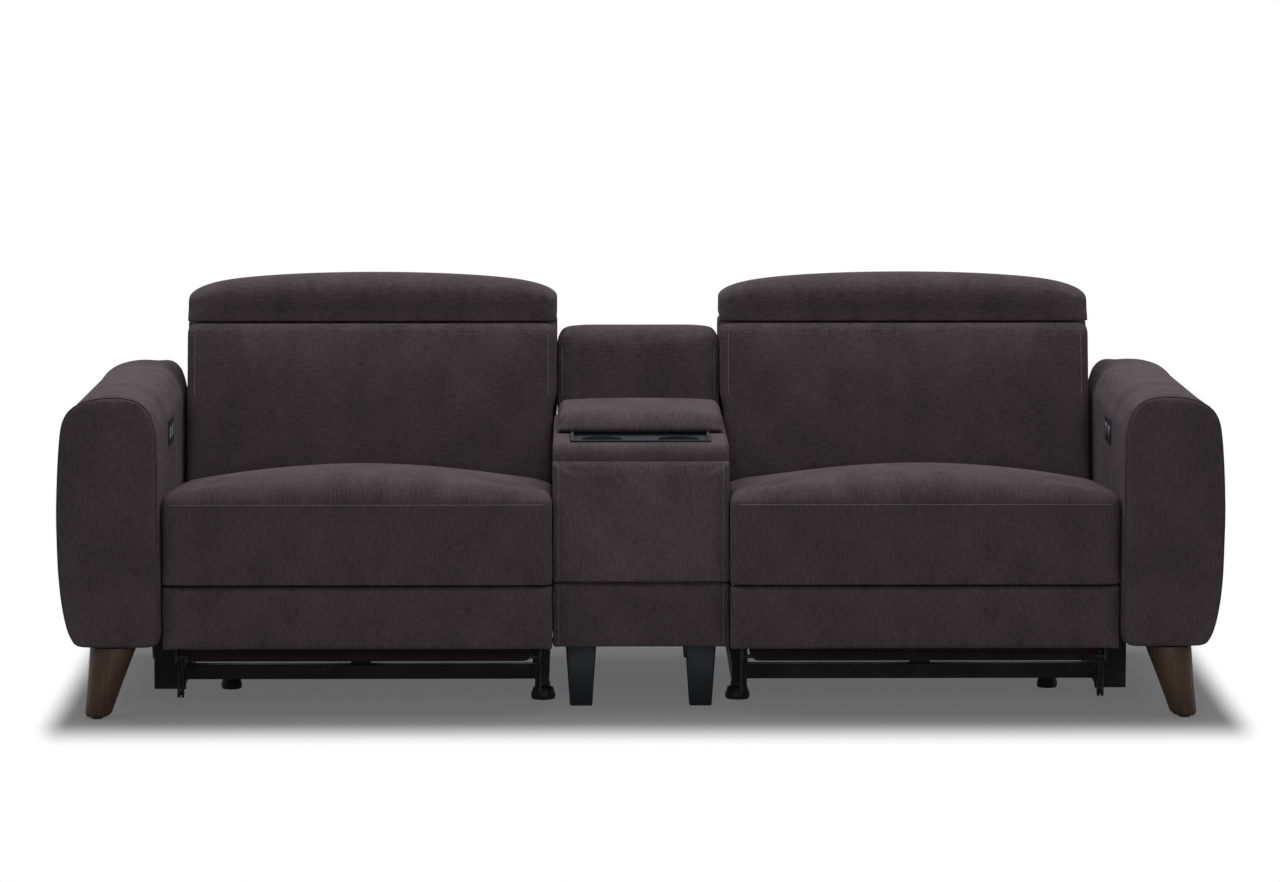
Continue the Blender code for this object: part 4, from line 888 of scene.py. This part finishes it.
def makeBack():
    bottom, top = backLow.z - backShape["lower"], backHigh.z
    padLow, padTop, seamInset = backShape["padLow"], backShape["padTop"], backShape["sideSeam"]
    head = backFrontAt(top)
    corners = [(backFoot, bottom), (head, top), (head + padTop, top), (backFoot + padLow, bottom)]
    rounds = [backShape["footRound"], backShape["topRound"], backShape["rearRound"], backShape["rearRound"]]
    outline = roundedOutline(corners, rounds, backShape["spacing"])
    low, high = backShape["lowEnd"], backShape["highEnd"]

    def winged(z):
        return within((z - trayHigh.z - backShape["wingStart"]) / backShape["wingRamp"])

    def swollen(x, y, z):
        u = (2 * x - low - high) / (high - low)
        share = (z - bottom) / (top - bottom)
        rear = backFoot + padLow + share * (head + padTop - backFoot - padLow)
        near = within((rear - y) / padTop - backShape["swellRear"])
        upright = math.sin(math.pi * within(backShape["swellFoot"] + backShape["swellRun"] * share))
        swell = backShape["swell"] * (1 - u ** 4) * upright
        fromRim = (y - head - backShape["rimPlace"]) / backShape["rimReach"]
        rim = backShape["rim"] * max(0.0, 1 - fromRim ** 2)
        rim *= max(0.0, (z - top + backShape["rimHeight"]) / backShape["rimHeight"])
        wing = backShape["wing"] * winged(z) * max(0.0, 1 - (x - low) / backShape["wingReach"])
        return x - wing, y - near * swell, z + rim

    back = lofted("back", backShape, outline, low, high, "fabric_level_painted_shade", move=swollen)

    def sewn(point):
        fromEnd = min(point.x - low + backShape["wing"] * winged(point.z), high - point.x)
        behind = point.y > backFrontAt(point.z) + padTop - backShape["rearHold"]
        onSeam = abs(fromEnd - seamInset) < backShape["seamHold"]
        return onSeam or behind or point.z > top - backShape["topHold"]

    padOut(back, backShape, sewn, (low - backShape["wing"], high))
    eased(back, sewn)
    addSubdivision(back)
    twin = bothSides(back, "back_pad", "back", "back_cushion")
    rows = []
    for x in (low - backShape["wing"] + seamInset + backShape["innerStitch"],
              high - seamInset - backShape["outerStitch"]):
        ends = (bottom + backShape["stitchStart"], top - backShape["stitchEnd"])
        rows.append([(x, backFrontAt(z) - backShape["stitchFront"], z) for z in ends])
    sewBothSides("back_stitches", back, twin, "back", rows)
    print("backs")


headShape = {
    "spacing": 0.011, "endRound": 0.017, "fill": 0.7, "pressure": 1.8, "puff": 0.005,
    "lowEnd": 0.1740, "highEnd": 0.9635, "lean": 0.012, "rearFall": 0.012,
    "frontRound": 0.040, "rearRound": 0.035, "footRound": 0.021,
    "lip": 0.0075, "lipDepth": 0.006, "lipFoot": 0.013, "lipFront": 0.003, "lipRound": 0.002,
    "footRise": 0.03, "footShare": 0.12, "arch": 0.044, "archEven": 0.4, "archEnds": 0.6, "archLift": 1.2,
    "sideSeam": 0.014, "seamWidth": 0.003, "seamDepth": 0.002, "seamHold": 0.003, "footHold": 0.020,
}


def makeHeadrest():
    bottom, top, front, rear = headLow.z, headHigh.z, headLow.y, headHigh.y
    lip = bottom - headShape["lip"]
    corners = [
        (front, lip), (front + headShape["lean"], top), (rear, top - headShape["rearFall"]), (rear, bottom),
        (front + headShape["lipFoot"], bottom), (front + headShape["lipDepth"], lip),
    ]
    rounds = ("lipFront", "frontRound", "rearRound", "footRound", "lipRound", "lipRound")
    outline = roundedOutline(corners, [headShape[name] for name in rounds], headShape["spacing"])
    low, high = headShape["lowEnd"], headShape["highEnd"]

    def footShare(point):
        return within((point[1] - bottom) / headShape["footRise"], headShape["footShare"])

    def arched(x, y, z):
        u = min(1.0, abs(2 * x - low - high) / (high - low))
        drop = headShape["arch"] * (headShape["archEven"] * u * u + headShape["archEnds"] * u ** 10)
        return x, y, z - drop * max(0.0, (z - bottom) / (top - bottom)) ** headShape["archLift"]

    pillow = lofted("headrest", headShape, outline, low, high, "fabric_level_painted_shade", footShare, arched)

    def sewn(point):
        onSeam = abs(min(point.x - low, high - point.x) - headShape["sideSeam"]) < headShape["seamHold"]
        return onSeam or point.z < bottom + headShape["footHold"]

    padOut(pillow, headShape, sewn, (low, high))
    eased(pillow, sewn)
    addSubdivision(pillow)
    bothSides(pillow, "headrest_pillow", "headrest", "headrest")
    print("headrests")


shellShape = {
    "spacing": 0.018, "endRound": 0.008, "fill": 0.4, "lowEnd": 0.1822, "highEnd": 0.9698,
    "bottom": 0.192, "footIn": 0.014, "clearance": 0.0004, "topDepth": 0.144, "lowDepth": 0.085,
    "bulge": 0.012, "bulgeLower": 0.04, "rounds": (0.012, 0.0, 0.013, 0.03, 0.1, 0.014),
    "wing": 0.0080, "wingStart": 0.50, "wingRamp": 0.03, "wingReach": 0.2,
    "sideSeam": 0.014, "seamWidth": 0.004, "seamDepth": 0.0025,
}


def makeBackShell():
    top, bottom, gap = backHigh.z, shellShape["bottom"], shellShape["clearance"]
    padLow = backFoot + backShape["padLow"]
    padHead = backFrontAt(top) + backShape["padTop"]
    rearHead, rearFoot = padHead + shellShape["topDepth"], padLow + shellShape["lowDepth"]
    corners = [
        (padLow + shellShape["footIn"], bottom), (padLow + gap, backLow.z), (padHead + gap, top),
        (rearHead, top), (rearFoot + shellShape["bulge"], (bottom + top) / 2 - shellShape["bulgeLower"]),
        (rearFoot, bottom),
    ]
    outline = roundedOutline(corners, shellShape["rounds"], shellShape["spacing"])
    low, high = shellShape["lowEnd"], shellShape["highEnd"]

    def widened(x, y, z):
        above = within((z - shellShape["wingStart"]) / shellShape["wingRamp"])
        return x - shellShape["wing"] * above * max(0.0, 1 - (x - low) / shellShape["wingReach"]), y, z

    shell = lofted("shell", shellShape, outline, low, high, "fabric", move=widened)
    addSubdivision(shell)
    bothSides(shell, "back_cover", "back", "back_shell")
    print("back covers")


# Console

consoleShape = {
    "spacing": 0.011, "endRound": 0.010, "fill": 0.6, "rollRound": 0.030, "cornerRound": 0.013,
    "trayProud": 0.004, "behindPanels": 0.004, "sideOver": 0.0012,
    "wall": 0.010, "trayGap": 0.0006, "traySeat": 0.016, "clearAbove": 0.05, "cupWell": 0.08, "cupEdge": 0.01,
    "storeWell": 0.22, "storeFront": 0.018, "storeRear": 0.055,
    "panelSeam": 0.5115, "skirtSeam": 0.2615, "seamGap": 0.0004,
}


def cutAway(piece, low, high):
    # takes a box out of a piece
    cutter = finished("cutter", boxShape(Vector(low), Vector(high)), "lining")
    cut = piece.modifiers.new("cut", "BOOLEAN")
    cut.operation = "DIFFERENCE"
    cut.object = cutter
    cut.solver = "EXACT"
    result = bpy.data.meshes.new_from_object(piece.evaluated_get(bpy.context.evaluated_depsgraph_get()))
    piece.modifiers.remove(cut)
    piece.data = result
    bpy.data.objects.remove(cutter)


def makeConsole():
    front, rear = consoleLow.y + padFront, consoleHigh.y
    bottom, top = consoleLow.z, trayHigh.z - consoleShape["trayProud"]
    face, corner = front + consoleShape["behindPanels"], consoleShape["cornerRound"]
    corners = [(face, bottom), (face, top), (rear, top), (rear, bottom)]
    rounds = [corner, consoleShape["rollRound"], corner, corner]
    outline = roundedOutline(corners, rounds, consoleShape["spacing"])
    low, high = consoleLow.x - consoleShape["sideOver"], consoleHigh.x + consoleShape["sideOver"]
    shell = lofted("console_shell", consoleShape, outline, low, high, "fabric", insets=())
    wallX, above = trayHigh.x - consoleShape["wall"], top + consoleShape["clearAbove"]
    gap = consoleShape["trayGap"]
    cutAway(shell, (trayLow.x - gap, trayLow.y - gap, top - consoleShape["traySeat"]),
            (trayHigh.x + gap, trayHigh.y + gap, above))
    cutAway(shell, (-wallX, trayLow.y + consoleShape["cupEdge"], top - consoleShape["cupWell"]),
            (wallX, trayHigh.y - consoleShape["cupEdge"], top))
    cutAway(shell, (-wallX, trayHigh.y + consoleShape["storeFront"], top - consoleShape["storeWell"]),
            (wallX, lidHigh.y - consoleShape["storeRear"], above))
    place(shell, "frame", "console_body")
    seam, top, split = consoleShape["skirtSeam"], consoleShape["panelSeam"], consoleShape["seamGap"]
    # the front panel takes the lighter chenille, which is painted light
    makeConsolePanel("console_front", front, seam + split, top, "fabric_painted_light", "upperRound")
    makeConsolePanel("console_skirt", front, bottom, seam - split, "fabric", "frontRound")
    print("console")


panelShape = {
    "spacing": 0.0099, "outlineSpacing": 0.0055, "endRound": 0.006,
    "fill": 0.7, "pressure": 1.4, "puff": 0.003,
    "proud": 0.007, "depth": 0.016, "sideOver": 0.0014, "rearHold": 0.002,
    "frontRound": 0.0066, "upperRound": 0.0115, "rearRound": 0.0085,
    "sideSeam": 0.012, "seamWidth": 0.003, "seamDepth": 0.0012, "stitchEnd": 0.006,
}


def makeConsolePanel(name, front, low, high, finish, topRound):
    start, end = consoleLow.x - panelShape["sideOver"], consoleHigh.x + panelShape["sideOver"]
    proud, rear = front - panelShape["proud"], front + panelShape["depth"]
    corners = [(proud, low), (proud, high), (rear, high), (rear, low)]
    rounds = [panelShape[name] for name in ("frontRound", topRound, "rearRound", "rearRound")]
    outline = roundedOutline(corners, rounds, panelShape["outlineSpacing"])
    pad = lofted(name + "_pad", panelShape, outline, start, end, finish)
    padOut(pad, panelShape, lambda point: point.y > front + panelShape["rearHold"], (start, end))
    addSubdivision(pad)
    place(pad, "frame", None)
    inset, short = panelShape["sideSeam"], panelShape["stitchEnd"]
    rows = [((x, front, low + short), (x, front, high - short)) for x in (start + inset, end - inset)]
    sewThread(name + "_stitches", pad, "frame", rows)


lidShape = {
    "spacing": 0.010, "outlineSpacing": 0.007, "endRound": 0.022, "fill": 0.7, "pressure": 1.6, "puff": 0.003,
    "nose": 0.034, "noseRise": 0.0012, "noseRound": 0.0065, "height": 0.039, "rearShort": 0.0086,
    "frontRound": 0.036, "rearRound": 0.026, "footRound": 0.0095, "footRise": 0.02, "footShare": 0.4,
    "crown": 0.007, "crownFlat": 0.6,
    "sideSeam": 0.020, "seamWidth": 0.003, "seamDepth": 0.0016, "seamHold": 0.003, "footHold": 0.007,
    "stitchFront": 0.02, "stitchLow": 0.008, "stitchHigh": 0.03,
}


def makeLid():
    front, rear, bottom = lidLow.y, lidHigh.y - lidShape["rearShort"], lidLow.z
    top = bottom + lidShape["height"]
    nose = (front - lidShape["nose"], bottom + lidShape["noseRise"])
    corners = [nose, (front, top), (rear, top), (rear, bottom)]
    rounds = [lidShape[name] for name in ("noseRound", "frontRound", "rearRound", "footRound")]
    outline = roundedOutline(corners, rounds, lidShape["outlineSpacing"])
    low, high, inset = lidLow.x, lidHigh.x, lidShape["sideSeam"]

    def footShare(point):
        return within((point[1] - bottom) / lidShape["footRise"], lidShape["footShare"])

    def crowned(x, y, z):
        u = (2 * x - low - high) / (high - low)
        middle = math.sin(math.pi * within((y - front) / (rear - front)))
        lift = (z - bottom) / lidShape["height"] * lidShape["crown"]
        return x, y, z + lift * (1 - u * u) * middle ** lidShape["crownFlat"]

    lid = lofted("console_lid_pad", lidShape, outline, low, high, "fabric", footShare, crowned)

    def sewn(point):
        onSeam = abs(min(point.x - low, high - point.x) - inset) < lidShape["seamHold"]
        return point.z < bottom + lidShape["footHold"] or onSeam

    padOut(lid, lidShape, sewn, (low, high))
    eased(lid, sewn)
    addSubdivision(lid)
    place(lid, "console_lid", "console_lid")
    rows = []
    for x in (low + inset, high - inset):
        ends = (bottom + lidShape["stitchLow"], bottom + lidShape["stitchHigh"])
        rows.append([(x, front - lidShape["stitchFront"], z) for z in ends])
    sewThread("lid_stitches", lid, "console_lid", rows)
    print("lid")


riseShape = {
    "spacing": 0.012, "endRound": 0.015, "fill": 0.6, "pressure": 1.4, "puff": 0.003, "wider": 0.0025,
    "top": 0.7320, "fall": 0.034, "lean": 0.035, "cornerRound": 0.030, "cornerReach": 0.08,
    "waist": 0.13, "waistHeight": 0.44, "footIn": 0.14, "rounds": (0.018, 0.04, 0.030, 0.03, 0.1, 0.018),
    "sideSeam": 0.008, "seamWidth": 0.003, "seamDepth": 0.0015, "rearHold": 0.12,
    "stitchInset": 0.003, "stitchFront": 0.03, "stitchLow": 0.03, "stitchHigh": 0.05,
}


def makeConsoleBack():
    bottom, top, front, rear = riseLow.z, riseShape["top"], riseLow.y, riseHigh.y
    corners = [
        (front, bottom), (front, trayHigh.z), (front + riseShape["lean"], top),
        (rear, top - riseShape["fall"]), (rear - riseShape["waist"], riseShape["waistHeight"]),
        (rear - riseShape["footIn"], bottom),
    ]
    outline = roundedOutline(corners, riseShape["rounds"], riseShape["spacing"])
    low, high = riseLow.x - riseShape["wider"], riseHigh.x + riseShape["wider"]
    corner, reach = riseShape["cornerRound"], riseShape["cornerReach"]

    def cornered(x, y, z):
        short = max(0.0, corner - min(x - low, high - x))
        fall = corner - math.sqrt(max(0.0, corner ** 2 - short ** 2))
        return x, y, z - within((z - (top - reach)) / reach) * fall

    pad = lofted("console_back_pad", riseShape, outline, low, high, "fabric_level_painted_shade", move=cornered)

    def sewn(point):
        return point.z < trayHigh.z or point.y > front + riseShape["rearHold"]

    padOut(pad, riseShape, sewn, (low, high))
    addSubdivision(pad)
    place(pad, "frame", "console_back")
    rows = []
    for x in (low + riseShape["sideSeam"] + riseShape["stitchInset"],
              high - riseShape["sideSeam"] - riseShape["stitchInset"]):
        ends = (trayHigh.z + riseShape["stitchLow"], top - riseShape["stitchHigh"])
        rows.append([(x, front - riseShape["stitchFront"], z) for z in ends])
    sewThread("console_back_stitches", pad, "frame", rows)
    print("console back")


# Rigid pieces

def cadShape(node):
    shape = bmesh.new()
    shape.from_mesh(frame["nodes"][node].data)
    bmesh.ops.remove_doubles(shape, verts=shape.verts, dist=1e-6)
    return shape


def bevelledCopy(node, finish, width):
    # a rigid CAD piece with its edges softened
    shape = cadShape(node)
    bmesh.ops.dissolve_limit(shape, angle_limit=math.radians(1.0), verts=shape.verts, edges=shape.edges)
    for face in shape.faces:
        face.smooth = True
    piece = finished(node + "_shaped", shape, finish)
    bevel = piece.modifiers.new("soft_edges", "BEVEL")
    bevel.width = width
    bevel.segments = 2
    bevel.limit_method = "ANGLE"
    bevel.angle_limit = math.radians(30.0)
    bevel.harden_normals = True
    return piece


def bodyOf(node):
    for body, members in frame["record"]["behaviour"]["bodies"].items():
        if node in members:
            return body


hingeShape = {"armFront": 0.004, "lugRise": 0.0015, "lidRear": 0.0080, "cheekRise": 0.0006}


def steelFrom(node, name, body, *cuts):
    # the steel that stands clear of a padded piece, kept from its CAD mesh by cutting the rest away
    shape = cadShape(node)
    for point, outward in cuts:
        everything = shape.verts[:] + shape.edges[:] + shape.faces[:]
        bmesh.ops.bisect_plane(shape, geom=everything, plane_co=point, plane_no=outward, clear_outer=True)
        bmesh.ops.holes_fill(shape, edges=[edge for edge in shape.edges if edge.is_boundary])
    bmesh.ops.recalc_face_normals(shape, faces=shape.faces)
    place(finished(name, shape, "black_steel"), body)


def makeHinges():
    cover = (0, backFoot + backShape["padLow"] + hingeShape["armFront"], 0)
    top = (0, 0, backHigh.z + hingeShape["lugRise"])
    for side in ("left", "right"):
        shell, body = f"back_shell_{side}", f"back_{side}"
        steelFrom(shell, f"back_hinge_arms_{side}", body, (cover, (0, 1, 0)), ((0, 0, backLow.z), (0, 0, 1)))
        steelFrom(shell, f"headrest_lugs_{side}", body, (top, (0, 0, -1)))
    behind = (0, lidHigh.y - hingeShape["lidRear"], 0)
    above = (0, 0, trayHigh.z - consoleShape["trayProud"] + hingeShape["cheekRise"])
    steelFrom("console_lid", "lid_hinge_barrel", "console_lid", (behind, (0, -1, 0)))
    steelFrom("console_body", "lid_hinge_cheeks", "frame", (behind, (0, -1, 0)), (above, (0, 0, -1)))
    print("hinges")


legShape = {
    "soften": 0.0018, "footBelow": 0.004, "lift": 0.006,
    "glideRadius": 0.0125, "glideHeight": 0.0075, "glideSides": 28, "glideRim": 0.0015,
}


def makeFrontLeg(side):
    node = f"front_leg_{side}"
    leg = bevelledCopy(node, "walnut", legShape["soften"])
    foot = [vert for vert in leg.data.vertices if vert.co.z < legShape["footBelow"]]
    middle = sum((vert.co for vert in foot), Vector()) / len(foot)
    for vert in foot:
        vert.co.z = legShape["lift"]
    place(leg, "frame", node)
    shape = bmesh.new()
    bmesh.ops.create_circle(shape, cap_ends=True, segments=legShape["glideSides"],
                            radius=legShape["glideRadius"])
    grown = bmesh.ops.extrude_face_region(shape, geom=shape.faces[:])["geom"]
    top = [item for item in grown if isinstance(item, bmesh.types.BMVert)]
    bmesh.ops.translate(shape, vec=(0.0, 0.0, legShape["glideHeight"]), verts=top)
    bmesh.ops.recalc_face_normals(shape, faces=shape.faces)
    rim = [edge for edge in shape.edges if edge.calc_face_angle(0.0) > 1.0]
    bmesh.ops.bevel(shape, geom=rim, offset=legShape["glideRim"], segments=2, profile=0.5,
                    affect="EDGES", material=-1)
    bmesh.ops.translate(shape, vec=(middle.x, middle.y, 0.0), verts=shape.verts)
    place(finished(f"leg_glide_{side}", shape, "rubber"), "frame")


# finish, and how wide the edges are softened
softened = {
    "control_panel": ("plastic", 0.0012), "recline_rocker": ("silver", 0.0006),
    "headrest_rocker": ("silver", 0.0006), "base_frame": ("black_steel", 0.0015),
    "rear_leg": ("dark_wood", 0.002),
}


def dressRigid():
    for base, (finish, width) in softened.items():
        for side in ("left", "right"):
            node = f"{base}_{side}"
            place(bevelledCopy(node, finish, width), bodyOf(node), node)
    for side in ("left", "right"):
        makeFrontLeg(side)
        for end in ("front", "rear"):
            node = f"console_leg_{end}_{side}"
            place(bevelledCopy(node, *softened["rear_leg"]), "frame", node)
    place(bevelledCopy("console_tray", *softened["control_panel"]), "frame", "console_tray")
    slots = {part["node"]: part["material_slot"] for part in frame["record"]["subparts"]}
    for node, item in frame["nodes"].items():
        item.data.materials.clear()
        item.data.materials.append(finishes[slots[node]])
    print("rigid pieces")


# Floor

floorShape = {
    "half": 60.0, "white": 0.60, "shadow": 0.122, "shadowFloor": 0.08, "shift": 0.0097,
    "sideEdge": 1.159, "sideFade": 0.076, "frontEdge": 0.4855, "frontFade": 0.295,
}


def greyOf(level):
    return (level, level, level, 1.0)


def makeFloor():
    # white all round, with a soft grey pool of painted shadow below the seats
    shape = bmesh.new()
    bmesh.ops.create_grid(shape, x_segments=1, y_segments=1, size=floorShape["half"])
    material, tree, shader = freshMaterial("pale_floor")
    pale = tree.nodes.new("ShaderNodeBsdfDiffuse")
    pale.inputs["Color"].default_value = greyOf(floorShape["white"])
    # the pool glows grey as painted shadow, over a dim floor that the lamps light
    fillIn(shader, {
        "Base Color": greyOf(floorShape["shadowFloor"]), "Roughness": 1.0, "Specular IOR Level": 0.0,
        "Emission Color": greyOf(floorShape["shadow"]), "Emission Strength": 1.0,
    })
    white = tree.nodes.new("ShaderNodeEmission")
    white.inputs["Color"].default_value = greyOf(1.0)
    spot = tree.nodes.new("ShaderNodeSeparateXYZ")
    tree.links.new(tree.nodes.new("ShaderNodeTexCoord").outputs["Object"], spot.inputs[0])
    beyond = []
    for axis, shift, side in (("X", floorShape["shift"], "side"), ("Y", 0.0, "front")):
        distance = combined(tree, "ABSOLUTE", combined(tree, "SUBTRACT", spot.outputs[axis], shift), 0.0)
        edge, fade = floorShape[side + "Edge"], floorShape[side + "Fade"]
        reach = remapped(tree, distance, edge, edge + fade, 0.0, 1.0)
        beyond.append(combined(tree, "POWER", reach, 2.0))
    corner = combined(tree, "POWER", combined(tree, "ADD", beyond[0], beyond[1]), 0.5)
    away = remapped(tree, corner, 0.0, 1.0, 0.0, 1.0)
    away.node.interpolation_type = "SMOOTHSTEP"
    near = tree.nodes.new("ShaderNodeMixShader")
    seen = tree.nodes.new("ShaderNodeMixShader")
    for mix, share, first, second in ((near, away, shader.outputs["BSDF"], white.outputs["Emission"]),
                                      (seen, seenRays(tree), pale.outputs["BSDF"], near.outputs["Shader"])):
        tree.links.new(share, mix.inputs["Fac"])
        tree.links.new(first, mix.inputs[1])
        tree.links.new(second, mix.inputs[2])
    tree.links.new(seen.outputs["Shader"], tree.nodes["Material Output"].inputs["Surface"])
    finishes["floor"] = material
    finished("floor", shape, "floor")
    print("floor")


makeCamera()
lightStudio()
makeFloor()
makeArm()
makeSeat()
makeFootrest()
makeFlap()
makeBack()
makeHeadrest()
makeBackShell()
makeConsole()
makeLid()
makeConsoleBack()
makeHinges()
dressRigid()
